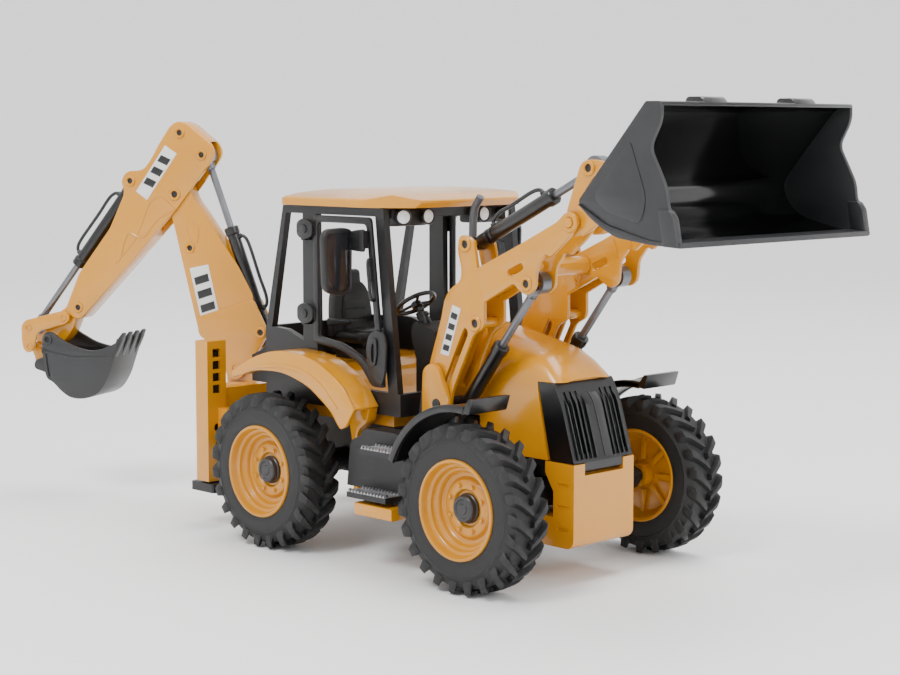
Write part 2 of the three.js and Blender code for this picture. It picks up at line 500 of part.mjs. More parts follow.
const out = (points) => points.map(([r, z, radius]) => [-r, z, radius ?? 0]);
const outPin = ([r, z], radius, half, segments) => pin([-r, z], radius, -half, half, segments);
const sheet = (points, v0, v1) => plate(out(points), v0, v1);
function addHoe(name, body, look) {
  add(name, body.rotate([0, 0, SWING.deg]).translate([SWING.x, 0, 0]), look);
}

const kingSide = [[-5.5, 45.4], [-5.5, 73.6], [9.8, 73.6], [9.8, 82.6, 2], [31, 82.6, 3], [29, 58, 4], [20, 45.4, 3]];
const tongue = [[12, 78], [14, 88, 3], [19, 99, 4], [28, 99, 4], [32, 91, 4], [31, 78]];
const earClear = solid(new THREE.CylinderGeometry(18.6, 18.6, 6.8, 32).rotateX(Math.PI / 2)).translate([0, 0, 76.6]);
const kingpost = join(sheet(kingSide, -9, 9).subtract(earClear), sheet(tongue, -4.5, 4.5))
  .subtract(solid(new THREE.CylinderGeometry(3 + GAP, 3 + GAP, 60, 20).rotateX(Math.PI / 2)).translate([0, 0, 60]))
  .subtract(outPin(BOOM_FOOT, 2.6 + GAP, 12))
  .subtract(sheet([[22, 50], [22, 76], [40, 76], [40, 50]], -3, 3));
addHoe("kingpost", kingpost, PAINT);

const boomSide = [[11.2, 138.4, 3], [21.7, 157.3], [46.7, 191.8], [54, 201, 3], [58, 211.5, 6], [66, 213.4, 6],
  [75.4, 208, 6], [75, 196, 5], [69.9, 187.8, 3], [57.7, 138.2], [50.6, 109.8, 6], [33, 104, 4], [14, 112]];
const heelSide = [[11.6, 137.3], [3.8, 122, 3], [0.4, 115.5, 3], [3.6, 109.8, 4], [9.3, 101.3], [15.4, 90, 4],
  [22, 83.4, 5], [30, 84.6, 5], [32.4, 94, 5], [31, 100], [44, 108], [50.6, 112], [52, 124]];
const across = [DIPPER_EYE[0] - DIPPER_BASE[0], DIPPER_EYE[1] - DIPPER_BASE[1]];
const reach = Math.hypot(...across);
const beside = (d, n) => [DIPPER_BASE[0] + (across[0] * d + across[1] * n) / reach,
  DIPPER_BASE[1] + (across[1] * d - across[0] * n) / reach];
const boomBody = join(sheet(boomSide, -5.5, 5.5), sheet(heelSide, -7.5, 7.5))
  .subtract(sheet([beside(-12, -9), beside(-12, 6.5), beside(92, 8.5), beside(92, -9)], -4.8, 4.8))
  .subtract(sheet([[10, 80], [10, 104, 2], [40, 104, 2], [40, 80]], -4.85, 4.85));
const boomPins = join(outPin(BOOM_FOOT, 2.6, 7), outPin(DIPPER_BASE, 2.2, 7), outPin(DIPPER_BASE, 3.6, 8.3)
  .subtract(outPin(DIPPER_BASE, 9, 7)), outPin([57, 169.1], 3.6, 6.4));
addHoe("boom", join(boomBody, boomPins).subtract(outPin(DIPPER_PIVOT, 3.2 + GAP, 9)), PAINT);

const dipperSide = [[63, 252, 3], [57, 249.9, 2], [39.7, 236.8, 3], [37.8, 230.2, 2], [41.2, 224.3, 3], [65.9, 194, 3],
  [101, 158], [139.8, 118.8, 3], [155.5, 124.2, 2], [150.5, 127, 2], [139.8, 150.8], [115.9, 181], [104.2, 205, 3],
  [107, 212, 4], [103, 219, 4], [90.2, 219.7, 3], [84.6, 226.4], [77.5, 237.9], [69.2, 249.5, 4]];
const noseSide = [[143, 121], [146.9, 112, 3], [153.5, 103.5, 3], [160, 99.8, 5], [165.4, 104, 4], [164.8, 110, 3],
  [150, 121], [148, 125]];
const boomSlot = [[54, 214, 4], [66.7, 217.5, 6], [79.5, 209, 5], [80.5, 196, 3], [84, 170], [20, 170], [20, 205]];
const rodSlot = [[28, 238.4], [50, 238.4, 3], [55.4, 232, 3], [54.4, 222], [52, 200], [28, 200]];
const eyeSlot = [[92, 213, 3], [97, 204.5, 3], [112, 186], [130, 190], [118, 226], [94, 222]];
const dipperBody = join(sheet(dipperSide, -7.5, 7.5), sheet(noseSide, -5.5, 5.5))
  .subtract(sheet(boomSlot, -5.85, 5.85))
  .subtract(sheet(rodSlot, -4.4, 4.4))
  .subtract(sheet(eyeSlot, -4.2, 4.2));
const bossAt = [[62.5, 244.2], DIPPER_EYE, DIPPER_PIVOT, BUCKET_BASE, [140.7, 127.5]];
const bosses = join(...bossAt.flatMap((p) => [-1, 1].map((s) => pin([-p[0], p[1]], 3.6, Math.min(s * 7, s * 8.4),
  Math.max(s * 7, s * 8.4)))));
const dipperPins = join(outPin(DIPPER_EYE, 2.2, 7), outPin(DIPPER_PIVOT, 3.2, 7.4), outPin(BUCKET_BASE, 2.2, 7));
const dipper = join(dipperBody, bosses, dipperPins)
  .subtract(outPin(LEVER_PIVOT, 2 + GAP, 12))
  .subtract(outPin(BUCKET_PIVOT, 2.2 + GAP, 12));
addHoe("dipper", dipper, PAINT);

const flipped = ([r, z]) => [-r, z];
const dipperRam = ram({ base: flipped(DIPPER_BASE), eye: flipped(DIPPER_EYE), y: 0, barrel: 71.6, radius: 4, inside: 34,
  eyeHole: 4.2, basePin: 2.2 });
const sideHose = (at, from, to) => {
  const [ax, , az] = at(from);
  const [bx, , bz] = at(to);
  const [nx, nz] = [(bz - az) / (to - from), (ax - bx) / (to - from)];
  return rod([[ax, 0, az], [ax + nx * 7, 0, az + nz * 7], [ax * 0.8 + bx * 0.2 + nx * 8.6, 0, az * 0.8 + bz * 0.2 + nz * 8.6],
    [ax * 0.2 + bx * 0.8 + nx * 8.6, 0, az * 0.2 + bz * 0.8 + nz * 8.6], [bx + nx * 7, 0, bz + nz * 7], [bx, 0, bz]],
  1.1);
};
const boreOf = (r, from, to) => bar(r.at(from), r.at(to), 2.2 + GAP, 12);
addHoe("dipper_barrel", join(dipperRam.tube, sideHose(dipperRam.at, 17, 65)).subtract(boreOf(dipperRam, 11, 80)), BLACK);
addHoe("dipper_rod", dipperRam.shaft, STEEL);

const bucketRam = ram({ base: flipped(BUCKET_BASE), eye: flipped(LEVER_EYE), y: 0, barrel: 72.6, radius: 4, inside: 20,
  eyeHole: 3.4, basePin: 2.2 });
addHoe("bucket_barrel", join(bucketRam.tube, sideHose(bucketRam.at, 16, 64)).subtract(boreOf(bucketRam, 11, 90)), BLACK);
addHoe("bucket_rod", bucketRam.shaft, STEEL);

const leverSide = [[184, 114, 3], [181, 117.6, 3], [150.4, 125.4, 3], [146.6, 122.4, 2], [147, 118, 2], [150.6, 115.8, 2],
  [169.4, 111, 2], [172.1, 108.1, 2], [175, 97.5, 2], [179.2, 95.2, 2], [182.6, 97.5, 2], [184, 103.1, 2]];
const lever = join(sheet(leverSide, 7.9, 10), sheet(leverSide, -10, -7.9), outPin(LEVER_PIVOT, 2, 9),
  outPin(LEVER_EYE, 1.9, 9), outPin(LEVER_END, 1.8, 9), outPin([166, 116], 1.6, 9, 12));
addHoe("bucket_lever", lever, PAINT);

const linkSide = [[181, 99.5, 3], [178, 103, 3], [174.6, 100, 2], [170, 90, 3], [169.2, 86, 3], [172.5, 82.8, 3],
  [177.4, 85.5, 3], [177, 92, 2]];
const link = join(sheet(linkSide, -3.4, 3.4), outPin(LEVER_END, 3.6, 3.4))
  .subtract(outPin(LEVER_END, 1.8 + GAP, 6))
  .subtract(outPin(LINK_END, 2.6, 6));
addHoe("bucket_link", link, PAINT);

const hoeBucketSide = [[164.1, 106.7, 2], [161.8, 110.7, 2], [157.2, 111.5, 2], [152.8, 108.3, 2], [140.2, 102.1],
  [126.9, 99.3], [117.4, 101.3], [110.4, 104.3], [105, 107.3], [110.7, 92.2], [114.6, 81.4], [120.5, 72.5],
  [127.5, 68.6], [135.8, 67], [143.5, 67.8], [149.8, 71.7], [156.1, 77.6], [160.4, 79.6], [161.8, 82.7], [162.9, 90.5],
  [164.3, 100]];
const hoeHollow = [[106.9, 108], [112.8, 92.9], [116.6, 82.6], [121.9, 74.3], [128, 70.8], [135.8, 69.2], [142.8, 70],
  [148.5, 73.4], [155.3, 79.7], [158.4, 81.2], [159.7, 84], [160.8, 90.7], [161.8, 97], [172, 97], [172, 118], [104, 118]];
const tooth = (v) => sheet([[108.6, 97], [104.4, 106.6], [101.9, 111.9], [104.2, 112.4], [107.4, 107.4], [111, 98]],
  v - 2, v + 2);
const lug = (v0, v1) => sheet([[159.5, 96], [166, 94, 3], [176.6, 90, 3], [177, 84.6, 3], [172, 83.2, 3], [159, 79.6]], v0, v1);
const lugShape = join(lug(4, 6.2), lug(-6.2, -4)).subtract(sheet(hoeHollow, -10, 10));
const hoeBucket = join(
  sheet(hoeBucketSide, -16, 16).subtract(sheet(hoeHollow, -13.8, 13.8)),
  lugShape, outPin(LINK_END, 1.5, 5), outPin(BUCKET_PIVOT, 2.2, 15), outPin(BUCKET_PIVOT, 3.6, 17)
    .subtract(outPin(BUCKET_PIVOT, 9, 15.5)),
  ...[-13.2, -4.5, 4.5, 13.2].map(tooth),
);
addHoe("backhoe_bucket", hoeBucket, GREY);

export default root;
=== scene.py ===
import math

import bmesh
import bpy
from mathutils import Matrix, Vector


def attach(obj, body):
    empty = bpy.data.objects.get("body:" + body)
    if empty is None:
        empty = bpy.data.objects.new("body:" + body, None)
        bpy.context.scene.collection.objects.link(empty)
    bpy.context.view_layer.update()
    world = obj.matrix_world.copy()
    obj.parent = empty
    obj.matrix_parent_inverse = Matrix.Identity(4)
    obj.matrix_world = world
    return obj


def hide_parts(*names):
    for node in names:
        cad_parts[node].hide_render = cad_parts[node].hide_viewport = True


# Looks of a 1:16 toy backhoe loader. Shapes are laid out in millimetres from the ground point
# under the rear axle, as the CAD is; ORIGIN_X moves them into the model's own frame.
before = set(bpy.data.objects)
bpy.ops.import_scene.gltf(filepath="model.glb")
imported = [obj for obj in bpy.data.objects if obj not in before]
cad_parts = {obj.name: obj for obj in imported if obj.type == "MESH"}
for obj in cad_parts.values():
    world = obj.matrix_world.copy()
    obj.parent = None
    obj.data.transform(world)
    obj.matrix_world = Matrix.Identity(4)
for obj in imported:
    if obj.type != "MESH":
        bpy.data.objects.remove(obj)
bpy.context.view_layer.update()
MM = 0.001
ORIGIN_X = 22.555
SWING_X = -90.0
SWING = math.radians(25)
LEFT_RIGHT = (("left", 1), ("right", -1))
STAND_UP = Matrix.Rotation(math.pi / 2, 4, "X")

# ---------- shapes


def round_steps(count):
    """Equal angles all the way round."""
    return [2 * math.pi * k / count for k in range(count)]


def span(s, inner, outer):
    """The two widths on side s, lower first."""
    return sorted((s * inner, s * outer))


def rounded(points, steps=6):
    """Corner points [x, y] or [x, y, radius] with each radius turned into a curve."""
    out = []
    n = len(points)
    for i, p in enumerate(points):
        corner = Vector(p[:2])
        before = Vector(points[i - 1][:2]) - corner
        after = Vector(points[(i + 1) % n][:2]) - corner
        radius = p[2] if len(p) > 2 else 0
        radius = min(radius, 0.48 * before.length, 0.48 * after.length)
        if radius <= 0:
            out.append(corner)
            continue
        a = corner + before.normalized() * radius
        b = corner + after.normalized() * radius
        for k in range(steps + 1):
            t = k / steps
            out.append(a * (1 - t) ** 2 + corner * 2 * t * (1 - t) + b * t * t)
    return out


def new_object(name, data):
    obj = bpy.data.objects.new(name, data)
    bpy.context.scene.collection.objects.link(obj)
    return obj


def mesh_of(obj):
    """The object's final mesh as a new mesh object at the origin; the object itself goes."""
    bpy.context.view_layer.update()
    deps = bpy.context.evaluated_depsgraph_get()
    mesh = bpy.data.meshes.new_from_object(obj.evaluated_get(deps))
    mesh.transform(obj.matrix_world)
    result = new_object(obj.name + "_m", mesh)
    bpy.data.objects.remove(obj)
    work = bmesh.new()
    work.from_mesh(mesh)
    bmesh.ops.remove_doubles(work, verts=work.verts, dist=0.002)
    bmesh.ops.recalc_face_normals(work, faces=work.faces)
    work.to_mesh(mesh)
    work.free()
    return result


def extruded(points, depth, holes=(), edge=0.5, steps=6):
    """Flat outline with holes, depth thick about z=0, with its edges rounded."""
    curve = bpy.data.curves.new("outline", "CURVE")
    curve.dimensions = "2D"
    curve.fill_mode = "BOTH"
    for ring in (points, *holes):
        path = rounded(ring, steps)
        spline = curve.splines.new("POLY")
        spline.points.add(len(path) - 1)
        for point, co in zip(spline.points, path):
            point.co = (co.x, co.y, 0, 1)
        spline.use_cyclic_u = True
    edge = min(edge, depth * 0.3)
    curve.extrude = depth / 2 - edge
    curve.bevel_depth = edge
    curve.bevel_resolution = 1
    curve.offset = -edge
    return new_object("outline", curve)


def plate(points, y0, y1, holes=(), edge=0.5, steps=6):
    obj = extruded(points, y1 - y0, holes, edge, steps)
    obj.matrix_world = Matrix.Translation((0, (y0 + y1) / 2, 0)) @ STAND_UP
    return mesh_of(obj)


def slab(points, z0, z1, holes=(), edge=0.5, steps=6):
    obj = extruded(points, z1 - z0, holes, edge, steps)
    obj.matrix_world = Matrix.Translation((0, 0, (z0 + z1) / 2))
    return mesh_of(obj)


def wall(points, x0, x1, holes=(), edge=0.5, steps=6):
    obj = extruded(points, x1 - x0, holes, edge, steps)
    turn = Matrix.Rotation(math.pi / 2, 4, "Z") @ STAND_UP
    obj.matrix_world = Matrix.Translation(((x0 + x1) / 2, 0, 0)) @ turn
    return mesh_of(obj)


def block(x0, x1, y0, y1, z0, z1, edge=0.4):
    return plate([[x0, z0], [x1, z0], [x1, z1], [x0, z1]], y0, y1, edge=edge)


def from_rings(rings, loop=False):
    """Mesh over a row of equal rings of points, closed at its ends or joined into a loop."""
    work = bmesh.new()
    verts = [[work.verts.new(p) for p in ring] for ring in rings]
    count = len(rings[0])
    pairs = list(zip(verts, verts[1:]))
    if loop:
        pairs.append((verts[-1], verts[0]))
    for a, b in pairs:
        for i in range(count):
            j = (i + 1) % count
            work.faces.new((a[i], a[j], b[j], b[i]))
    if not loop:
        work.faces.new(list(reversed(verts[0])))
        work.faces.new(verts[-1])
    bmesh.ops.remove_doubles(work, verts=work.verts, dist=0.0005)
    bmesh.ops.recalc_face_normals(work, faces=work.faces)
    mesh = bpy.data.meshes.new("rings")
    work.to_mesh(mesh)
    work.free()
    return new_object("rings", mesh)


def turned(profile, segments=96, turn=None):
    """Closed section [radius, height] turned about the Y axis, or about the axis that turn gives."""
    rings = [[(r * math.sin(a), h, r * math.cos(a)) for r, h in profile] for a in round_steps(segments)]
    obj = from_rings(rings, loop=True)
    if turn is not None:
        obj.data.transform(turn)
    return obj


def along(a, b):
    """Matrix that takes the Y axis onto the line from a to b, starting at a."""
    a, b = Vector(a), Vector(b)
    return Matrix.Translation(a) @ Vector((0, 1, 0)).rotation_difference(b - a).to_matrix().to_4x4()


def bar(a, b, radius, edge=0.3, segments=40):
    length = (Vector(b) - Vector(a)).length
    section = [(0, 0), (radius - edge, 0), (radius - edge * 0.3, edge * 0.3), (radius, edge),
               (radius, length - edge), (radius - edge * 0.3, length - edge * 0.3), (radius - edge, length),
               (0, length)]
    return turned(section, segments, along(a, b))


def pin(at, radius, y0, y1, edge=0.3, segments=40):
    return bar((at[0], y0, at[1]), (at[0], y1, at[1]), radius, edge, segments)


def smooth_path(points, steps=8):
    """Catmull-Rom curve through the points."""
    pts = [Vector(p) for p in points]
    pts = [2 * pts[0] - pts[1], *pts, 2 * pts[-1] - pts[-2]]
    out = []
    for i in range(1, len(pts) - 2):
        p0, p1, p2, p3 = pts[i - 1:i + 3]
        for k in range(steps):
            t = k / steps
            out.append(0.5 * (2 * p1 + (p2 - p0) * t + (2 * p0 - 5 * p1 + 4 * p2 - p3) * t * t
                              + (3 * p1 - p0 - 3 * p2 + p3) * t ** 3))
    out.append(pts[-2])
    return out


def tube(points, radius, steps=8, sides=14):
    path = smooth_path(points, steps)
    rings = []
    normal = None
    for i, p in enumerate(path):
        ahead = path[min(i + 1, len(path) - 1)] - path[max(i - 1, 0)]
        ahead.normalize()
        if normal is None:
            normal = ahead.orthogonal().normalized()
        normal = (normal - ahead * normal.dot(ahead)).normalized()
        other = ahead.cross(normal)
        rings.append([p + radius * (math.cos(t) * normal + math.sin(t) * other)
                      for t in round_steps(sides)])
    return from_rings(rings)


def cut(body, *tools):
    """body less the tools, or shared with them where a tool is marked keep."""
    for tool in tools:
        mod = body.modifiers.new("cut", "BOOLEAN")
        mod.operation = "INTERSECT" if tool.get("keep") else "DIFFERENCE"
        mod.solver = "EXACT"
        mod.object = tool
    name = body.name
    result = mesh_of(body)
    result.name = name
    for tool in tools:
        bpy.data.objects.remove(tool)
    return result


def shared(body, *tools):
    for tool in tools:
        tool["keep"] = True
    return cut(body, *tools)


MIRROR_Y = Matrix.Diagonal((1, -1, 1, 1))
TO_FRAME = Matrix.Scale(MM, 4) @ Matrix.Translation((-ORIGIN_X, 0, 0))
HOE = Matrix.Translation((SWING_X, 0, 0)) @ Matrix.Rotation(SWING, 4, "Z")


def piece(name, parts, material, body, nodes=(), place=None, sharp=32):
    """Joins parts into one finished piece of the model."""
    work = bmesh.new()
    for part in parts:
        work.from_mesh(part.data)
        bpy.data.objects.remove(part)
    mesh = bpy.data.meshes.new(name)
    work.to_mesh(mesh)
    work.free()
    if place is not None:
        mesh.transform(place)
        if place.determinant() < 0:
            mesh.flip_normals()
    mesh.transform(TO_FRAME)
    mesh.polygons.foreach_set("use_smooth", [True] * len(mesh.polygons))
    mesh.set_sharp_from_angle(angle=math.radians(sharp))
    mesh.materials.append(material)
    obj = new_object(name, mesh)
    if nodes:
        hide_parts(*nodes)
    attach(obj, body)
    return obj


def pair(name, build, material, body, nodes=(), sharp=32):
    """The same piece on the left and mirrored on the right. {} in a name takes the side."""
    for side, sign in LEFT_RIGHT:
        piece(name.format(side), build(), material, body.format(side),
              [n.format(side) for n in nodes], None if sign > 0 else MIRROR_Y, sharp)


# ---------- materials


def material(name, colour, rough, metal=0.0, vary=0.06, scale=60.0, bump=0.03, coat=0.0, grain=600.0,
             wear=0.0):
    """Principled finish whose colour, roughness and surface vary with the place on the piece."""
    mat = bpy.data.materials.new(name)
    mat.use_nodes = True
    tree = mat.node_tree
    shader = tree.nodes["Principled BSDF"]
    link = tree.links.new
    place = tree.nodes.new("ShaderNodeTexCoord")

    def noise(size, detail):
        texture = tree.nodes.new("ShaderNodeTexNoise")
        texture.inputs["Scale"].default_value = size
        texture.inputs["Detail"].default_value = detail
        link(place.outputs["Object"], texture.inputs["Vector"])
        return texture.outputs["Fac"]

    cloud = noise(scale, 5)
    tint = tree.nodes.new("ShaderNodeValToRGB")
    for stop, at, share in zip(tint.color_ramp.elements, (0.3, 0.7), (1 - vary, 1 + vary)):
        stop.position = at
        stop.color = (*[min(1, c * share) for c in colour], 1)
    link(cloud, tint.inputs["Fac"])
    link(tint.outputs["Color"], shader.inputs["Base Color"])
    shine = tree.nodes.new("ShaderNodeMapRange")
    shine.inputs["To Min"].default_value = rough * 0.85
    shine.inputs["To Max"].default_value = min(1, rough * 1.2)
    link(cloud, shine.inputs["Value"])
    link(shine.outputs["Result"], shader.inputs["Roughness"])
    relief = tree.nodes.new("ShaderNodeBump")
    relief.inputs["Strength"].default_value = bump
    relief.inputs["Distance"].default_value = 0.0005
    link(noise(grain, 3), relief.inputs["Height"])
    link(relief.outputs["Normal"], shader.inputs["Normal"])
    shader.inputs["Metallic"].default_value = metal
    shader.inputs["Coat Weight"].default_value = coat
    shader.inputs["Coat Roughness"].default_value = 0.12
    return mat


PAINT = material("orange_paint", (0.60, 0.245, 0.002), 0.24, vary=0.05, scale=25, bump=0.025, coat=0.5)
PAINT_RIM = material("orange_rim", (0.52, 0.21, 0.002), 0.28, vary=0.06, scale=35, bump=0.03, coat=0.3)
BLACK = material("black_plastic", (0.0035, 0.0035, 0.004), 0.3, vary=0.3, scale=50, bump=0.05, coat=0.15)
BLACK_SATIN = material("black_satin", (0.006, 0.006, 0.0065), 0.45, vary=0.25, scale=60, bump=0.08)
CAB_BLACK = material("cab_black", (0.008, 0.008, 0.009), 0.4, vary=0.2, scale=40, bump=0.05, coat=0.05)
RUBBER = material("tyre_rubber", (0.0075, 0.0075, 0.008), 0.58, vary=0.3, scale=90, bump=0.2, grain=900)
BUCKET_GREY = material("bucket_grey", (0.017, 0.0175, 0.019), 0.42, vary=0.18, scale=45, bump=0.07, coat=0.1)
BUCKET_GLOSS = material("bucket_gloss", (0.002, 0.002, 0.0022), 0.14, vary=0.25, scale=18, bump=0.01,
                        coat=0.4)
STEEL = material("rod_steel", (0.17, 0.175, 0.19), 0.3, metal=0.75, vary=0.1, scale=80, bump=0.03)
HUB_GREY = material("hub_grey", (0.03, 0.03, 0.032), 0.36, metal=0.2, vary=0.2, scale=120, bump=0.05)
TREAD = material("tread_silver", (0.42, 0.42, 0.43), 0.4, metal=0.7, vary=0.12, scale=90, bump=0.1)
LENS = material("lamp_lens", (0.78, 0.8, 0.82), 0.1, vary=0.12, scale=300, bump=0.2, coat=0.8, grain=1500)
GLASS = material("mirror_glass", (0.03, 0.03, 0.034), 0.08, metal=0.4, vary=0.1, scale=60, bump=0.01)
DECAL = material("decal_white", (0.72, 0.72, 0.70), 0.4, vary=0.04, scale=60, bump=0.02)
DECAL_DARK = material("decal_dark", (0.008, 0.008, 0.009), 0.4, vary=0.2, scale=60, bump=0.02)
PIPE_GREY = material("pipe_grey", (0.075, 0.075, 0.08), 0.38, metal=0.4, vary=0.15, scale=60, bump=0.05)

# CAD pieces that keep their own shape, with their edges broken a little
KEPT = {
    BLACK_SATIN: ("chassis", "rear_axle", "front_axle", "seat_base", "steering_column",
                  "steps_left", "steps_right", "rear_housing", "stabilizer_leg_left", "stabilizer_leg_right"),
    CAB_BLACK: ("cab_frame", "lamp_bar"),
    BLACK: ("grille",),
    PAINT: ("front_box", "rear_frame", "kingpost", "arm_cross_tube", "cab_floor"),
}
for look, names in KEPT.items():
    for name in names:
        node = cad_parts[name]
        node.data.materials.clear()
        node.data.materials.append(look)
        edge = node.modifiers.new("edge", "BEVEL")
        edge.width = 0.5 * MM
        edge.segments = 2
        edge.limit_method = "ANGLE"
        edge.angle_limit = math.radians(40)
        edge.harden_normals = False

# ---------- wheels

AXLE_Z = 46.0
WHEELBASE = 163.8
WHEEL_Y = 74.2
LUGS = 23
RIM_RIBS = RIM_BOLTS = 8
BOLT_CIRCLE = 12.7


def tyre():
    section = [(27.0, -11.6), (28.6, -12.2), (31, -12.4), (35.5, -12.2), (36.2, -12.6), (37, -12.1),
               (40, -11.3), (42.2, -9.4), (42.8, -6), (42.8, 6), (42.2, 9.4), (40, 11.3), (37, 12.1),
               (36.2, 12.6), (35.5, 12.2), (31, 12.4), (28.6, 12.2), (27.0, 11.6)]
    parts = [turned(section, 128)]
    stations = [((0.3, 45.9), (0.3, 42.2), 0.0, 1.7), ((5, 46.1), (5, 42), 0.085, 2.1),
                ((9.4, 45.9), (9.2, 42), 0.165, 2.5), ((11.7, 44.8), (10.9, 40.6), 0.205, 2.8),
                ((12.5, 42.4), (11.6, 39), 0.225, 2.7), ((12.6, 39.0), (12.0, 38.0), 0.235, 1.9)]
    for side in (-1, 1):
        for k in range(LUGS):
            start = 2 * math.pi * (k + (0.5 if side > 0 else 0)) / LUGS
            rings = []
            for outer, inner, turn, half in stations:
                ring = []
                for (y, r), spread in ((outer, -0.82), (outer, 0.82), (inner, 1.25), (inner, -1.25)):
                    a = start - turn + spread * half / r
                    ring.append((r * math.sin(a), side * y, r * math.cos(a)))
                rings.append(ring)
            parts.append(from_rings(rings))
    return parts


def rim():
    section = [(0, 64), (6, 64), (7, 70.5), (10, 71.5), (21, 70), (23.6, 66), (25, 62.8), (26.2, 62.2),
               (27.2, 62.4), (27.3, 86.2), (27, 86.9), (26.3, 87.2), (25.6, 87.0), (25.1, 86.2),
               (24.7, 83.6), (24.2, 82.9), (23.4, 82.6), (22.8, 82.0), (22.4, 80.2), (21.8, 79.5),
               (20.7, 79.3), (20.1, 78.6), (19.6, 76.8), (18.9, 76.2), (17.2, 76.0), (16.4, 76.4),
               (15.7, 77.4), (14.8, 77.8), (10.6, 77.8), (9.8, 77.2), (9.4, 76.2), (0, 76.0)]
    parts = [turned(section, 128)]
    for a in round_steps(RIM_RIBS):
        rib = block(9, 23.5, -0.9, 0.9, -1.5, 1.5, 0.3)
        rib.data.transform(Matrix.Rotation(a, 4, "Y") @ Matrix.Translation((0, 69.2, 0)))
        parts.append(rib)
    return parts


def bolts():
    parts = []
    for k in range(RIM_BOLTS):
        a = 2 * math.pi * (k + 0.5) / RIM_BOLTS
        at = (BOLT_CIRCLE * math.sin(a), BOLT_CIRCLE * math.cos(a))
        parts.append(bar((at[0], 77.4, at[1]), (at[0], 79.2, at[1]), 1.25, 0.3, 6))
        parts.append(bar((at[0], 77.4, at[1]), (at[0], 78.2, at[1]), 1.7, 0.2, 24))
    return parts


def hub_cap():
    section = [(0, 75.5), (8.2, 75.5), (8.2, 77.4), (7.6, 78.0), (7.3, 80.2), (6.7, 80.9), (5.2, 81.0),
               (4.8, 80.5), (3.0, 80.5), (2.6, 81.0), (0, 81.1)]
    return [turned(section, 64)]


for end, x in (("front", WHEELBASE), ("rear", 0.0)):
    for side, sign in LEFT_RIGHT:
        place = Matrix.Translation((x, 0, AXLE_Z))
        if sign < 0:
            place = place @ MIRROR_Y
        wheel = f"{end}_wheel_{side}"
        centred = Matrix.Translation((0, WHEEL_Y, 0))
        piece(f"{end}_{side}_tyre_tread", tyre(), RUBBER, wheel, [f"{end}_tyre_{side}"], place
              @ centred)
        piece(f"{end}_{side}_rim_disc", rim(), PAINT_RIM, wheel, [f"{end}_rim_{side}"], place)
        piece(f"{end}_{side}_wheel_bolts", bolts(), PAINT_RIM, wheel, (), place)
        piece(f"{end}_{side}_hub_cap", hub_cap(), HUB_GREY, wheel, (), place)

# ---------- hood, roof, exhaust

HOOD_LINE = [(88.6, 140.4), (100, 138.4), (119, 135), (135, 132.2), (150, 129), (162, 125.8), (170, 121),
             (176, 115.6), (179.4, 111.4), (179.9, 110.2), (178.6, 109.4)]


def hood():
    rings = []
    for x, top in HOOD_LINE:
        ring = []
        half, shoulder = 24.9, min(99, top - 8)
        for k in range(40):
            a = math.pi * k / 39
            c, s = math.cos(a), math.sin(a)
            y = half * math.copysign(abs(c) ** 0.62, c)
            z = shoulder + (top - shoulder) * s ** 0.75
            ring.append((x, y, z))
        ring.append((x, -half, 66.7))
        ring.append((x, half, 66.7))
        rings.append(ring)
    body = from_rings(rings)
    front = plate([[165.3, 109.2], [200, 109.2], [200, 60], [174.7, 60]], -40, 40, edge=0.05)
    rear = block(70, 122, -40, 40, 50, 86, 0.05)
    return [cut(body, front, rear)]


piece("hood_shell", hood(), PAINT, "base", ["hood"], sharp=40)
ROOF_SIDE = [[-11.7, 202], [-12.5, 204, 1], [-4.3, 208.4, 6], [10.3, 211.2, 8], [49.5, 212, 12],
             [72.4, 210.7, 8], [91, 206.2, 3], [88, 202]]
ROOF_PLAN = [[-13, -60, 9], [66, -60, 6], [77, -52, 6], [92, -40, 10], [92, 40, 10], [77, 52, 6],
             [66, 60, 6], [-13, 60, 9]]
ROOF_FRONT = [[-60.5, 200], [60.5, 200], [60.5, 206.5, 4], [50, 209.8, 7], [30, 212.4, 9], [-30, 212.4, 9],
              [-50, 209.8, 7], [-60.5, 206.5, 4]]
roof = shared(plate(ROOF_SIDE, -61, 61, edge=0.1, steps=10), slab(ROOF_PLAN, 199, 216, edge=0.1, steps=10),
              wall(ROOF_FRONT, -20, 95, edge=0.1, steps=10))
roof_obj = piece("roof_panel", [roof], PAINT, "base", ["roof"], sharp=50)
roof_edge = roof_obj.modifiers.new("edge", "BEVEL")
roof_edge.width = 1.2 * MM
roof_edge.segments = 3
roof_edge.angle_limit = math.radians(38)

PIPE = (109.5, -18.0)
pipe = tube([(PIPE[0], PIPE[1], 100), (PIPE[0], PIPE[1], 150), (PIPE[0], PIPE[1], 188),
             (PIPE[0] + 1.2, PIPE[1], 201), (PIPE[0] + 6, PIPE[1], 208.6)], 2.3, 10, 28)
sleeve = bar((PIPE[0], PIPE[1], 120), (PIPE[0], PIPE[1], 172), 3.1, 0.6)
collar = bar((PIPE[0], PIPE[1], 125), (PIPE[0], PIPE[1], 134), 4.6, 0.6)
piece("exhaust_stack", [pipe, sleeve, collar], PIPE_GREY, "base", ["exhaust_pipe"])

TOWER = [[98.4, 84, 1], [98.6, 105.3, 4], [99.2, 112.4, 5], [105.2, 116.4, 5], [111.2, 114.2, 5],
         [118.2, 99, 4], [119.6, 94.7, 4], [116, 82, 1]]


def tower_cover():
    foot = plate([[96, 63], [97.6, 86], [117, 86], [115, 63]], 44.2, 47.7, edge=0.4)
    return [plate(TOWER, 44.2, 47.9, edge=0.7, steps=8), foot]


pair("loader_tower_{}", tower_cover, PAINT, "base")

# ---------- grille and front box trim

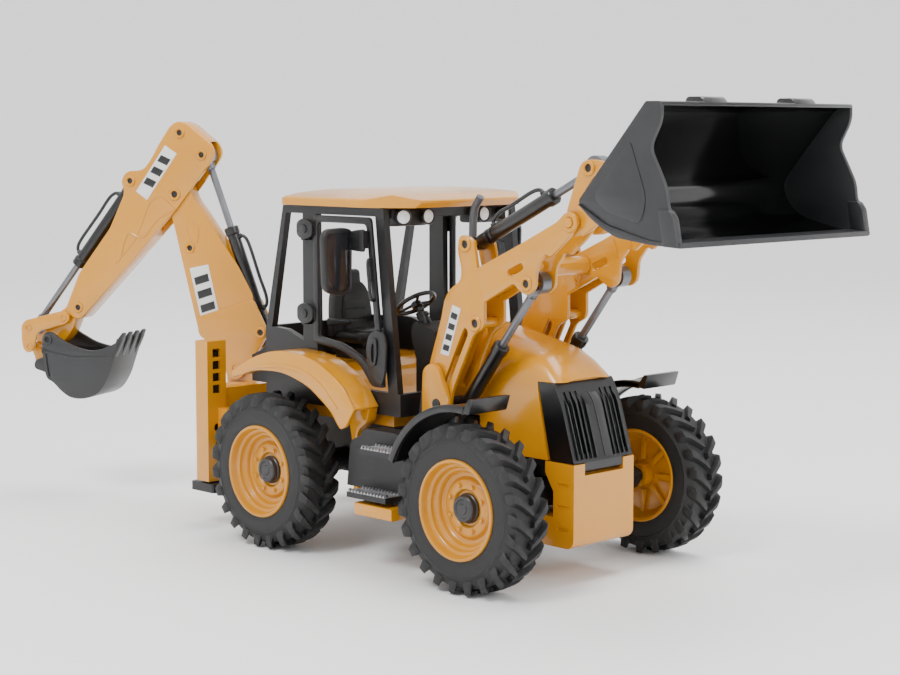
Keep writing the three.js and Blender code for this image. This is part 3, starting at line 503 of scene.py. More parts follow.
emblem = wall([[-5, -5, 1], [5, -5, 1], [5, 5, 1], [-5, 5, 1]], 0, 0.8, edge=0.2)
emblem.data.transform(Matrix.Translation((186.4, 0, 88.5)) @ Matrix.Rotation(math.radians(-16.5), 4, "Y"))
piece("grille_plain_badge", [emblem], PAINT, "base")


def grille_strip(y0, y1, proud):
    """Strip down the face of the grille between two widths."""
    face = [[178.2 + proud, 104.5, 1], [184.2 + proud, 97.6, 3], [193.1 + proud, 68.5], [190.6, 68.0],
            [181.8, 97.0, 3], [176.4, 103.5]]
    return plate(face, y0, y1, edge=0.3)


bars = [grille_strip(-6.6, 6.6, 0.55), grille_strip(-0.4, 0.4, 0.95)]
for s in (-1, 1):
    for y in (9.5, 13.2, 16.9, 20.6):
        bars.append(grille_strip(s * y - 0.45, s * y + 0.45, 0.1))
piece("grille_ribs", bars, BLACK, "base")

# ---------- lamps and mirrors


def lamp_housing():
    return [slab([[63, 16.5, 3], [72.6, 16.5, 3], [75, 22, 4], [75.6, 31, 6], [73.4, 44, 6], [70, 48.5, 4],
                  [63, 49, 3]], 191.2, 201.2, edge=1.6, steps=8)]


pair("lamp_housing_{}", lamp_housing, CAB_BLACK, "base")
for side, sign in LEFT_RIGHT:
    for name, y, turn in (("inner", 23.0, 0.0), ("outer", 40.5, 0.45)):
        ring = turned([(3.2, 3.6), (4.7, 3.2), (4.9, 4.4), (4.5, 4.9), (3.9, 4.5), (3.5, 3.9)], 48)
        lens = turned([(0, 3.6), (3.9, 3.6), (3.8, 4.2), (2.6, 4.6), (1.2, 4.8), (0, 4.85)], 48)
        place = (Matrix.Translation((74.5, sign * y, 196.6)) @ Matrix.Rotation(sign * turn, 4, "Z")
                 @ Matrix.Rotation(-math.pi / 2, 4, "Z"))
        piece(f"lamp_ring_{name}_{side}", [ring], CAB_BLACK, "base", (), place)
        piece(f"lamp_lens_{name}_{side}", [lens], LENS, "base", (), place)

HEAD_OUTLINE = [[60.4, 155, 4], [59.6, 189, 5], [65, 190.6, 4], [79, 190.2, 5], [82, 186, 4],
                [80.8, 155.6, 5], [74, 152.6, 5], [64, 152, 4]]
HEAD_INSET = [[62.6, 157, 3], [61.8, 187, 4], [78, 187.8, 4], [79.8, 185, 3], [78.6, 157, 4],
              [73, 154.8, 4], [65, 154.4, 3]]


def mirror():
    shell = cut(wall(HEAD_OUTLINE, 50.5, 54.5, edge=1.0, steps=8), wall(HEAD_INSET, 53.6, 56, edge=0.05),
                wall(HEAD_INSET, 49, 51.3, edge=0.05))
    arm = plate([[53.6, 178, 1], [53.6, 188, 2], [58, 189.2, 3], [65.6, 190, 1.5], [65.6, 177, 1.5],
                 [58, 177.4, 3]], 60.0, 62.2, edge=0.6)
    return [shell, arm, block(62, 65.4, 57.75, 61, 179, 189, 0.5)]


def mirror_glass():
    return [wall(HEAD_INSET, 53.45, 53.8, edge=0.08), wall(HEAD_INSET, 51.1, 51.45, edge=0.08)]


pair("mirror_shell_{}", mirror, CAB_BLACK, "door_{}", ["mirror_{}"])
pair("mirror_glass_{}", mirror_glass, GLASS, "door_{}")

# ---------- doors and cab

HINGE = (10.0, 57.2)
DOOR = [[16.6, 121.5, 2], [16.6, 196.5, 3], [66.3, 196.5, 3], [76.3, 112, 3], [77, 100, 2], [67, 100, 3],
        [57, 112, 5], [40, 119, 6]]
WINDOW = [[20.8, 125.6, 2], [20.8, 192.5, 3], [62.8, 192.5, 3], [72.2, 112.5, 2], [72.6, 104.4, 1],
          [69.4, 104.4, 2], [59.8, 115.8, 5], [42, 123.2, 6]]


def door():
    parts = [plate(DOOR, 54.9, 57.4, [WINDOW], 0.6, 8)]
    for z in (187.5, 137.8):
        parts.append(bar((*HINGE, z - 2), (*HINGE, z + 3.4), 2.4, 0.5))
        parts.append(plate([[HINGE[0], z - 2, 1], [19, z - 3, 1], [19, z + 4.4, 1], [HINGE[0], z + 3.4, 1]],
                           HINGE[1] - 1, HINGE[1] + 1, edge=0.4))
        knob = plate([[4.4, z - 2.8, 2], [4.4, z + 4.2, 2], [8, z + 6.6, 3], [14, z + 6.6, 3],
                      [18.6, z + 4.2, 2], [18.6, z - 2.8, 2], [14, z - 5.2, 3], [8, z - 5.2, 3]], 57.4,
                     59.8, edge=0.8)
        parts += [knob, pin((11.5, z + 0.7), 2.6, 59.4, 60.6, 0.4)]
    parts.append(plate([[69.5, 104, 3], [65.5, 112, 5], [64, 122, 6], [66.6, 130, 6], [72, 133.4, 5],
                        [78.6, 131.6, 4], [81, 126, 4], [80, 108, 4], [77, 101, 2]], 57, 59.2, edge=0.8,
                       steps=10))
    parts.append(plate([[68.4, 113, 4], [67.4, 122, 5], [70, 128.6, 4], [74, 128.6, 3], [75, 121, 4],
                        [73, 112, 3]], 59, 60.4,
                       [[[70.4, 115, 2], [69.9, 122, 2], [71.4, 126, 1.5], [72.8, 122, 2],
                         [72, 114.6, 1.5]]], edge=0.4))
    parts.append(tube([(69.7, 57, 149.5), (69.7, 60, 151), (68.6, 60.3, 161), (67.4, 60, 171.5),
                       (67.3, 57, 173)], 1.0))
    return parts


pair("door_frame_{}", door, CAB_BLACK, "door_{}", ["door_{}"])

seat_parts = [
    slab([[-17, -15, 4], [11, -16, 6], [11, 16, 6], [-17, 15, 4]], 116.5, 123, edge=1.9, steps=8),
    slab([[-13, -10, 4], [9.4, -11, 5], [9.4, 11, 5], [-13, 10, 4]], 121.5, 124, edge=0.8, steps=8),
    plate([[-19.5, 148, 2], [-13, 148, 2], [-14, 160, 3], [-20, 160, 3]], -8, 8, edge=1.6),
]
BACK = [[-15, 117, 3], [15, 117, 3], [16.4, 132, 8], [14.4, 146, 8], [9, 153, 6], [-9, 153, 6],
        [-14.4, 146, 8], [-16.4, 132, 8]]
BACK_FOOT = Vector((-13.2, 0, 118))
LEAN = (Matrix.Translation(BACK_FOOT) @ Matrix.Rotation(math.radians(-5.5), 4, "Y")
        @ Matrix.Translation((0, 0, -BACK_FOOT.z)))
back = wall(BACK, -3.8, 3.2, edge=1.9, steps=8)
pad = wall([[-9, 121, 3], [9, 121, 3], [10, 132, 5], [8, 146, 5], [-8, 146, 5], [-10, 132, 5]], 2.6, 4.6,
           edge=0.6)
ridges = [wall([[-8.6, z, 0.6], [8.6, z, 0.6], [8.6, z + 5.4, 0.6], [-8.6, z + 5.4, 0.6]], 4.0, 5.2,
               edge=0.35) for z in (123, 129.4, 135.8)]
for part in (back, pad, *ridges):
    part.data.transform(LEAN)
    seat_parts.append(part)
for s in (-1, 1):
    seat_parts.append(plate([[-15, 126, 1], [6, 128.5, 1.5], [6, 131.5, 1.5], [-15, 131, 1]],
                            *span(s, 16, 19.5), edge=0.9))
    seat_parts.append(block(-15, -11, *span(s, 15, 19), 120, 131, 0.6))
piece("driver_seat", seat_parts, BLACK_SATIN, "base", ["seat"])

TILT = Matrix.Translation((44, 0, 142.8)) @ Matrix.Rotation(math.radians(-35), 4, "Y")
ring = turned([(12 + 1.3 * math.cos(t), 1.3 * math.sin(t)) for t in round_steps(16)], 72,
              TILT @ STAND_UP)
wheel_parts = [ring]
for deg in (90, 210, 330):
    a = math.radians(deg)
    spoke = bar((0, 0, -0.4), (12 * math.cos(a), 12 * math.sin(a), 0), 0.9, 0.2, 16)
    spoke.data.transform(TILT)
    wheel_parts.append(spoke)
centre = turned([(0, -2.8), (3.4, -2.8), (3.2, 0.2), (2.4, 0.9), (0, 1.1)], 40, TILT @ STAND_UP)
wheel_parts.append(centre)
piece("steering_ring", wheel_parts, BLACK, "steering_wheel", ["steering_wheel"])
for k, (y, length) in enumerate(((-11, 12), (-7, 9), (9, 11))):
    stick = tube([(66, y, 129), (63, y, 134), (60, y, 129 + length)], 0.9)
    knob = turned([(0, -1.6), (1.4, -1.2), (1.8, 0), (1.4, 1.2), (0, 1.6)], 24,
                  Matrix.Translation((60, y, 129 + length)))
    piece(f"cab_lever_{k}", [stick, knob], BLACK, "base")

# ---------- fenders

FENDER_TOP = [[-39.5, 101, 1], [-31, 106, 5], [-19, 111.6, 10], [2, 117.4, 14], [25, 116.4, 12],
              [39, 113.6, 12], [59.5, 103, 10], [71, 88.6, 1]]
FENDER_UNDER = [[68, 87, 1], [57, 99.5, 8], [37, 110, 8], [24, 112.6, 10], [2, 113.6, 12], [-18, 108, 8],
                [-38, 98, 1]]
FLANK = [*FENDER_TOP[:1:-1], [-39.5, 101, 1], [-39.5, 97, 1], [-18, 103.5, 8], [8, 104.6, 10],
         [31, 98.5, 8], [50, 86.5, 4], [59, 76, 2], [64, 78, 3]]


def rear_fender():
    return [plate(FENDER_TOP + FENDER_UNDER, 54.8, 74, edge=0.8, steps=10),
            plate(FLANK, 71.8, 74.7, edge=1.0, steps=10),
            plate([[50, 87, 2], [54, 74, 6], [56, 60, 6], [56, 40, 1], [59.6, 40, 1], [59.6, 74, 4],
                   [68, 80, 2], [70, 89, 2], [58, 100, 3]], 54.8, 61.8, edge=0.6),
            plate([[-30, 101.5, 1], [-17, 106.5, 6], [5, 110, 10], [27, 108.5, 8], [44, 101, 6],
                   [58, 88, 3], [56, 87, 1], [43, 99, 6], [26, 106.3, 8], [5, 107.8, 10], [-17, 104.4, 6],
                   [-29, 99.6, 1]], 74.3, 75.1, edge=0.3)]


pair("rear_fender_shell_{}", rear_fender, PAINT, "base", ["rear_fender_{}"])


def arc(radius, first, last, steps):
    return [[WHEELBASE + radius * math.cos(math.radians(first + (last - first) * k / steps)),
             AXLE_Z + radius * math.sin(math.radians(first + (last - first) * k / steps))]
            for k in range(steps + 1)]


def front_fender():
    band = arc(55.4, 158, 84, 36) + [[173, 106], [176, 106], [173.6, 98.6]] + arc(52.6, 80, 158, 36)
    lip = arc(56.2, 158, 84, 36) + arc(52.0, 84, 158, 36)
    return [plate(band, 57, 86, edge=0.5), plate(lip, 83.8, 86.6, edge=0.8), plate(lip, 57, 58.4, edge=0.4),
            block(128, 136, 21.2, 60, 60, 66, 0.6),
            plate([[118, 56, 2], [118, 66, 3], [130, 92, 3], [138, 92, 3], [138, 60, 2]], 57, 60.6, edge=0.6)]


pair("front_fender_band_{}", front_fender, BLACK, "base", ["front_fender_{}"])


def treads():
    parts = []
    for x0, x1, z in ((73, 105, 43.6), (84, 110, 69.1)):
        parts.append(block(x0 + 0.4, x1 - 0.4, 70, 81.6, z - 0.2, z + 0.5, 0.2))
        for k in range(int((x1 - x0) / 2.6)):
            x = x0 + 1.4 + 2.6 * k
            parts.append(plate([[x, z, 0.1], [x + 1.5, z], [x + 0.75, z + 2.2, 0.2]], 80.2, 82.4, edge=0.15))
            parts.append(plate([[x, z, 0.1], [x + 1.5, z], [x + 0.75, z + 2.0, 0.2]], 70.4, 72, edge=0.15))
    return parts


pair("step_treads_{}", treads, TREAD, "base")


def step_block():
    return [block(78.6, 109.4, 60, 81.6, 31.2, 38, 0.8)]


pair("step_block_{}", step_block, PAINT, "base")

# ---------- loader

BOOMERANG = [[101, 117, 4], [96, 96, 6], [104, 86, 6], [116, 88, 6], [118, 100, 5], [134.9, 134, 3],
             [143, 138, 4], [142.8, 158.2, 3], [139.1, 163.2, 3], [136.7, 177, 5], [134.5, 187, 5],
             [124, 189, 5], [122.5, 180, 3], [125.6, 169.5, 4], [125, 163.3, 4], [116.9, 158.4, 4],
             [112.5, 152.8, 5], [109.3, 140.1, 5]]
FRONT_BEAM = [[136, 170, 3], [168.1, 184.5, 2], [196, 198, 3], [204, 205, 5], [212, 199, 5],
              [205, 190.5, 5], [191.3, 179.1, 5], [187.9, 181, 3], [181.5, 173, 3], [180.5, 161.2, 5],
              [174.5, 157.5, 5], [168, 161, 5], [165.1, 164, 3], [141.5, 151.5, 2], [136, 152, 1]]
SLOT = [[110.5, 103, 2], [114, 101.4, 2], [131, 134.4, 2], [128.6, 138, 2], [126, 134, 2]]
BEAM_HOLE = [[160, 170.5, 2], [171, 175.5, 2], [172.5, 172, 2], [162, 166.5, 2]]
LIFT_BASE, LIFT_EYE = (105, 73), (174.5, 164.2)
TILT_BASE, TILT_EYE = (128.7, 183.4), (215.4, 226.3)
HITCH, ARM_PIVOT, CROSS_TUBE = (205.3, 198), (110.5, 93.5), (136.5, 140.2)
ARM_BOSS_Y = (43.2, 44.6)
ARM_BOSSES = ((LIFT_EYE, 4.2), (TILT_BASE, 4.4), (CROSS_TUBE, 4.6), (HITCH, 5.4), (ARM_PIVOT, 5.6))


DARK_PINS = []


def note_pin(at, radius, y0, y1):
    """Notes in DARK_PINS the pin head inside a boss of this size."""
    way = 1 if y1 > y0 else -1
    DARK_PINS.append((at, radius * 0.5 + 0.05, y0, y1 - way * 0.8))


def boss(at, radius, y0, y1):
    """Raised ring round a pin head; the head itself is only noted."""
    hole = radius * 0.5
    way = 1 if y1 > y0 else -1
    section = [(hole, y0), (radius, y0), (radius, y1 - way * 0.5), (radius - 0.5, y1), (hole + 0.4, y1),
               (hole, y1 - way * 0.5)]
    note_pin(at, radius, y0, y1)
    return [turned(section, 48, Matrix.Translation((at[0], 0, at[1])))]


def pin_heads():
    """The pin heads noted since the last call."""
    parts = [pin(at, radius, *sorted((y0, y1)), 0.2) for at, radius, y0, y1 in DARK_PINS]
    DARK_PINS.clear()
    return parts


def loader_arm():
    parts = []
    for y0, y1 in ((25.3, 27.6), (41, 43.6)):
        parts.append(plate(BOOMERANG, y0, y1, [SLOT], 0.5, 8))
        parts.append(plate(FRONT_BEAM, y0 + 0.02, y1 - 0.02, [BEAM_HOLE], 0.5, 8))
    for at, r in ARM_BOSSES:
        parts += boss(at, r, *ARM_BOSS_Y)
    parts += [pin(LIFT_EYE, 2, 26, 42), pin(TILT_BASE, 2.2, 26, 42), pin(CROSS_TUBE, 3, 26, 42),
              plate([[138, 153.5, 0.5], [138, 156, 0.5], [163, 168.5, 0.5], [164, 166, 0.5]], 27, 42,
                    edge=0.3),
              plate([[112, 119.5, 0.5], [108.5, 121, 0.5], [112, 140, 0.5], [115, 139, 0.5]], 27, 42,
                    edge=0.3)]
    for a, b in (((144, 168), (150, 158)), ((150, 158), (158, 173)), ((176, 186), (180, 175)),
                 ((184, 190), (190, 182))):
        dx, dz = b[0] - a[0], b[1] - a[1]
        n = math.hypot(dx, dz)
        ox, oz = -dz / n * 0.7, dx / n * 0.7
        parts.append(plate([[a[0] + ox, a[1] + oz], [b[0] + ox, b[1] + oz], [b[0] - ox, b[1] - oz],
                            [a[0] - ox, a[1] - oz]], 24.6, 25.5, edge=0.2))
    return parts


def arm_pin_heads():
    for at, r in ARM_BOSSES:
        note_pin(at, r, *ARM_BOSS_Y)
    return pin_heads()


pair("loader_arm_frame_{}", loader_arm, PAINT, "loader_arms", ["loader_arm_{}"])
DARK_PINS.clear()
pair("loader_arm_pins_{}", arm_pin_heads, BLACK_SATIN, "loader_arms")


DECAL_QUAD = [[109.5, 121.5, 0.5], [116, 120.5, 0.5], [125.5, 147.5, 0.5], [119, 149.5, 0.5]]


def arm_trim():
    return [plate(DECAL_QUAD, 43.5, 43.9, edge=0.1)]


def decal_bars(corners, places, skew, run, margin):
    """Outlines of plain bars across a decal, each from the side 0-3 of its corners to the side 1-2."""
    q = [Vector(corner[:2]) for corner in corners]
    outlines = []
    for t in places:
        a, b = q[0].lerp(q[3], t), q[1].lerp(q[2], t + skew)
        inset = (b - a) * margin
        outlines.append([list(p) for p in (a + inset, b - inset, b - inset + run, a + inset + run)])
    return outlines


def arm_stripes():
    places = [0.09 + 0.22 * k for k in range(4)]
    outlines = decal_bars(DECAL_QUAD, places, 0, Vector((9.5, 27.5)) * 0.12, 0.14)
    return [plate(outline, 43.8, 44.1, edge=0.08) for outline in outlines]


pair("arm_decal_{}", arm_trim, DECAL, "loader_arms")
pair("arm_decal_bars_{}", arm_stripes, DECAL_DARK, "loader_arms")

CARRIAGE = [[200.4, 193.5, 5], [199.8, 203, 4], [210, 229.8, 5], [218, 231, 5], [230, 229, 8],
            [255, 236.5, 3], [261.2, 233.4, 1], [243.2, 212.7, 1], [241, 208, 4], [225, 200, 6],
            [212, 191.2, 5], [204, 190.6, 5]]
CARRIAGE_HOLE = [[218, 205, 3], [212, 214, 3], [218, 222, 3], [234, 224, 4], [243, 224, 3], [234, 211, 4]]
carriage_parts = [plate([[243.2, 212.7, 0.3], [261.2, 233.4, 0.3], [258.9, 235.4, 0.3],
                         [240.9, 214.7, 0.3]], -40.6, 40.6, edge=0.4)]
for s in (-1, 1):
    for y0, y1 in ((21.6, 24.7), (37.6, 40.6)):
        carriage_parts.append(plate(CARRIAGE, *span(s, y0, y1), [CARRIAGE_HOLE], 0.5, 8))
    carriage_parts += boss(TILT_EYE, 4.2, s * 40.2, s * 41.8)
    carriage_parts += [pin(TILT_EYE, 2, *span(s, 22, 40)),
                       pin(HITCH, 2.6, *span(s, 22, 45.4))]
piece("bucket_carriage", carriage_parts, PAINT, "loader_bucket", ["hitch_carriage"])
piece("bucket_carriage_pins", pin_heads(), BLACK_SATIN, "loader_bucket")

BUCKET_BELLY = [[289, 191.2, 8], [268.1, 193.9, 8], [260.8, 197.2, 6], [251.9, 202.5, 6]]
BUCKET_OUT = [[284.9, 259.5], [294.4, 259.4, 1], [294.6, 257.2, 0.8], [287.2, 257.2, 1], [284.2, 255.2, 2],
              [268, 236.4, 12], [252.2, 217, 12], [255.4, 207.5, 10], [264, 199.6, 12], [289, 193.3, 16],
              [306, 192.4], [306.1, 190.5], *BUCKET_BELLY, [242.3, 210.5, 4]]
BUCKET_END = [[284.9, 259.5, 1], [294.4, 259.4, 2], [294.5, 250.4, 5], [287.7, 237.5, 4], [293.6, 226.7, 4],
              [298.2, 217.9, 4], [299.2, 209, 2], [303.4, 206, 2], [306.1, 190.5, 0.5], *BUCKET_BELLY,
              [242.3, 210.5, 3]]
bucket_shell = [plate(BUCKET_OUT, -79.6, 79.6, edge=0.3, steps=14)]
for s in (-1, 1):
    bucket_shell.append(plate([[281.5, 255.5, 1], [283, 262, 2], [292, 262, 3], [294.4, 259, 1],
                               [294.4, 258], [284, 257.8, 1]], *span(s, 28, 47), edge=0.6))
piece("bucket_sheet", bucket_shell, BUCKET_GLOSS, "loader_bucket", ["loader_bucket"], sharp=28)
ends = []
for s in (-1, 1):
    ends.append(plate(BUCKET_END, *span(s, 77.8, 80.3), edge=0.5, steps=8))
    ends.append(plate([[246, 208.5, 1], [262, 200, 3], [289, 193.4, 3], [304.6, 193], [305.2, 190.6],
                       [289, 191.3, 3], [268.1, 194, 6], [260.8, 197.3, 5], [251.9, 202.6, 5],
                       [243.4, 209.8, 1]], *span(s, 80, 81.4), edge=0.4))
    ends.append(plate([[262, 206, 4], [283, 201, 4], [286.5, 213, 5], [279.5, 232, 4], [276, 241, 3],
                       [253, 213, 4]], *span(s, 79.9, 80.8), edge=0.35))
    ends.append(plate([[293.9, 208.4, 1], [300.8, 208.1, 1], [303.6, 204.2, 1], [306.1, 190.6, 0.5],
                       [297, 191, 1]], *span(s, 77, 81.6), edge=0.5))
lip = plate([[296, 190.7], [306.2, 190.2], [306.3, 192.8], [296, 193.6]], -80, 80, edge=0.5)
ends.append(lip)
piece("bucket_end_plates", ends, BUCKET_GREY, "loader_bucket")

# ---------- cylinders


def ram(base, eye, y, barrel, inside, eye_hole, base_pin, hose=True, plane=1):
    """Parts of a cylinder between two pins: (barrel, rod)."""
    a, b = Vector((base[0], y, base[1])), Vector((eye[0], y, eye[1]))
    line = (b - a).normalized()
    length = (b - a).length
    up = Vector((-line.z, 0, line.x)) * plane
    width = 3.4
    shell = turned([(0, 2), (3.4, 2), (4, 3), (4, barrel - 5.4), (4.6, barrel - 5), (4.7, barrel - 4.4),
                    (4.7, barrel - 0.6), (4.3, barrel), (2.5, barrel), (2.5, barrel - 1.2),
                    (0, barrel - 1.3)], 48, along(a, b))
    rings_part = [turned([(3.6, d), (4.35, d + 0.2), (4.35, d + 1.3), (3.6, d + 1.5)], 48, along(a, b))
                  for d in (9, 12.5)]
    eye_ring = turned([(base_pin + 0.3, -width), (base_pin + 1.6, -width), (base_pin + 1.6, width),
                       (base_pin + 0.3, width)], 40, Matrix.Translation(a))
    barrel_parts = [shell, eye_ring, *rings_part]
    if hose:
        route = [a + line * 15 + up * 3, a + line * 16 + up * 6.6, a + line * 22 + up * 8.6,
                 a + line * (barrel * 0.5) + up * 8.4, a + line * (barrel - 15) + up * 8.6,
                 a + line * (barrel - 8.4) + up * 6.8, a + line * (barrel - 7.4) + up * 3]
        barrel_parts.append(tube(route, 1.1))
        for d in (15, barrel - 7.4):
            barrel_parts.append(bar(a + line * d + up * 3, a + line * d + up * 5.4, 1.7, 0.3, 24))
    rod_parts = [bar(a + line * (barrel - inside), a + line * (length - eye_hole - 0.6), 2.2, 0.2),
                 turned([(eye_hole, -width), (eye_hole + 2, -width), (eye_hole + 2, width),
                         (eye_hole, width)], 48, Matrix.Translation(b)),
                 bar(a + line * (length - eye_hole - 6), a + line * (length - eye_hole - 0.8), 3, 0.5)]
    return barrel_parts, rod_parts


def one(index, *args, **kwargs):
    """The barrel or the rod only; the other is removed."""
    built = ram(*args, **kwargs)
    for part in built[1 - index]:
        bpy.data.objects.remove(part)
    return built[index]


LIFT = (LIFT_BASE, LIFT_EYE, 33, 69.5, 30, 4.0, 2.6)
TILT_RAM = (TILT_BASE, TILT_EYE, 33, 63.2, 16, 4.4, 2.2)
pair("lift_cylinder_{}", lambda: one(0, *LIFT, hose=False), BLACK, "lift_barrel_{}",
     ["lift_barrel_{}"])
pair("lift_rod_bright_{}", lambda: one(1, *LIFT), STEEL, "lift_rod_{}", ["lift_rod_{}"])
pair("tilt_cylinder_{}", lambda: one(0, *TILT_RAM), BLACK, "tilt_barrel_{}", ["tilt_barrel_{}"])
pair("tilt_rod_bright_{}", lambda: one(1, *TILT_RAM), STEEL, "tilt_rod_{}", ["tilt_rod_{}"])

# ---------- backhoe

BOOM_FOOT, DIPPER_BASE, DIPPER_PIVOT, DIPPER_EYE = (23.5, 91.5), (5.5, 115.5), (66.7, 204.2), (46.7, 229.9)
BUCKET_BASE, LEVER_PIVOT, LEVER_EYE, LEVER_END = (99.6, 212.6), (151, 120.5), (178.5, 112.5), (178, 99.5)
LINK_END, BUCKET_PIVOT = (173.5, 87), (159.6, 105.8)


def out(points):
    return [[-p[0], *p[1:]] for p in points]


def flipped(at):
    return (-at[0], at[1])


def sheet(points, v0, v1, holes=(), edge=0.5, steps=8):
    return plate(out(points), v0, v1, [out(h) for h in holes], edge, steps)


def both(points, v0, v1, **kwargs):
    return [sheet(points, v0, v1, **kwargs), sheet(points, -v1, -v0, **kwargs)]


BOOM = [[11.2, 138.4, 4], [21.7, 157.3, 3], [46.7, 191.8, 3], [54, 201, 3], [58, 211.5, 6], [66, 213.4, 6],
        [75.4, 208, 6], [75, 196, 5], [69.9, 187.8, 3], [57.7, 138.2, 5], [50.6, 109.8, 6], [33, 104, 4],
        [14, 112, 4]]
HEEL = [[11.6, 137.3, 3], [3.8, 122, 4], [0.4, 115.5, 4], [3.6, 109.8, 4], [9.3, 101.3, 3], [15.4, 90, 5],
        [22, 83.4, 6], [30, 84.6, 6], [32.4, 94, 6], [31, 100, 5], [44, 108, 5], [50.6, 112, 3],
        [52, 124, 2]]
direction = Vector((DIPPER_EYE[0] - DIPPER_BASE[0], DIPPER_EYE[1] - DIPPER_BASE[1])).normalized()
beside = Vector((direction.y, -direction.x))


def from_base(d, n):
    p = Vector(DIPPER_BASE) + direction * d + beside * n
    return [p.x, p.y]


boom_channel = [from_base(-12, -9), from_base(-12, 6.5), from_base(92, 8.5), from_base(92, -9)]
boom = cut(sheet(BOOM, -5.5, 5.5, edge=0.9), sheet(boom_channel, -4.8, 4.8, edge=0.05))
heel = cut(sheet(HEEL, -7.5, 7.5, edge=0.8), sheet(boom_channel, -4.8, 4.8, edge=0.05),
           sheet([[10, 80], [10, 104, 2], [40, 104, 2], [40, 80]], -4.85, 4.85, edge=0.05))
boom_parts = [boom, heel, pin(flipped(BOOM_FOOT), 2.6, -7, 7), pin(flipped(DIPPER_BASE), 2.2, -7, 7)]
for s in (-1, 1):
    boom_parts += boss(flipped(DIPPER_BASE), 3.8, s * 7.2, s * 8.4)
    boom_parts += boss(flipped(BOOM_FOOT), 4.2, s * 7.2, s * 8.0)
    boom_parts += boss(flipped((57, 169.1)), 3.6, s * 5.2, s * 6.4)
    for line in ([[57.6, 189.2], [50.9, 182], [51.7, 172.3]], [[59.7, 181.9], [55.8, 172.3]]):
        path = [(-p[0], s * 5.45, p[1]) for p in line]
        boom_parts.append(tube(path, 0.45, 6, 8))
piece("boom_beam", boom_parts, PAINT, "boom", ["boom"], HOE)
piece("boom_beam_pins", pin_heads(), BLACK_SATIN, "boom", (), HOE)
BOOM_DECAL = [[57.4, 155.8, 0.5], [43.8, 158.6, 0.5], [33.6, 115.9, 0.5], [47.1, 112.7, 0.5]]
piece("boom_decal", both(BOOM_DECAL, 5.4, 5.75, edge=0.1), DECAL, "boom", (), HOE)
stripes = []
places = [0.1 + 0.21 * k for k in range(4)]
for outline in decal_bars(BOOM_DECAL[::-1], places, 0.03, Vector((10.25, 43)) * 0.115, 0.12):
    stripes += both(outline, 5.7, 5.95, edge=0.08)
piece("boom_decal_bars", stripes, DECAL_DARK, "boom", (), HOE)

DIPPER = [[63, 252, 4], [57, 249.9, 3], [39.7, 236.8, 4], [37.8, 230.2, 3], [41.2, 224.3, 4],
          [65.9, 194, 4], [101, 158, 2], [139.8, 118.8, 4], [155.5, 124.2, 2], [150.5, 127, 3],
          [139.8, 150.8, 3], [115.9, 181, 2], [104.2, 205, 4], [107, 212, 5], [103, 219, 5],
          [90.2, 219.7, 4], [84.6, 226.4, 3], [77.5, 237.9, 3], [69.2, 249.5, 5]]
NOSE = [[143, 121], [146.9, 112, 3], [153.5, 103.5, 4], [160, 99.8, 6], [165.4, 104, 5], [164.8, 110, 4],
        [150, 121, 1], [148, 125]]
BOOM_SLOT = [[54, 214, 4], [66.7, 217.5, 6], [79.5, 209, 5], [80.5, 196, 3], [84, 170], [20, 170], [20, 205]]
ROD_SLOT = [[28, 238.4], [50, 238.4, 3], [55.4, 232, 3], [54.4, 222], [52, 200], [28, 200]]
EYE_SLOT = [[92, 213, 3], [97, 204.5, 3], [112, 186], [130, 190], [118, 226], [94, 222]]
dipper = cut(sheet(DIPPER, -7.5, 7.5, edge=1.0), sheet(BOOM_SLOT, -5.85, 5.85, edge=0.05),
             sheet(ROD_SLOT, -4.4, 4.4, edge=0.05), sheet(EYE_SLOT, -4.2, 4.2, edge=0.05))
dipper_parts = [dipper, sheet(NOSE, -5.5, 5.5, edge=0.8), pin(flipped(DIPPER_EYE), 2.2, -7, 7),
                pin(flipped(DIPPER_PIVOT), 3.2, -7.4, 7.4), pin(flipped(BUCKET_BASE), 2.2, -7, 7)]
for s in (-1, 1):
    for at, radius in (((62.5, 244.2), 3.7), (DIPPER_EYE, 3.7), (DIPPER_PIVOT, 4.4), (BUCKET_BASE, 3.7),
                       ((140.7, 127.5), 3.7)):
        dipper_parts += boss(flipped(at), radius, s * 7.2, s * 8.5)
    for line in ([[66.6, 194], [76.7, 202.3], [85, 198.5], [90.8, 186.3], [96.5, 174], [107.9, 161.5]],
                 [[66.6, 194], [80, 187], [91, 175.3], [102, 177.6], [107.9, 161.5], [111.5, 158.3]]):
        path = [(-p[0], s * 7.45, p[1]) for p in line]
        dipper_parts.append(tube(path, 0.55, 6, 8))
piece("dipper_arm", dipper_parts, PAINT, "dipper", ["dipper"], HOE)
piece("dipper_arm_pins", pin_heads(), BLACK_SATIN, "dipper", (), HOE)
DIPPER_DECAL = [[73.2, 236.1, 0.5], [64.7, 230.5, 0.5], [87.1, 200.1, 0.5], [95.3, 205.7, 0.5]]
piece("dipper_decal", both(DIPPER_DECAL, 7.4, 7.75, edge=0.1), DECAL, "dipper", (), HOE)
stripes = []
places = [0.14 + 0.24 * k for k in range(3)]
crossed = [DIPPER_DECAL[k] for k in (1, 0, 3, 2)]
for outline in decal_bars(crossed, places, 0.05, Vector((22.4, -30.4)) * 0.13, 0.13):
    stripes += both(outline, 7.7, 7.95, edge=0.08)
piece("dipper_decal_bars", stripes, DECAL_DARK, "dipper", (), HOE)

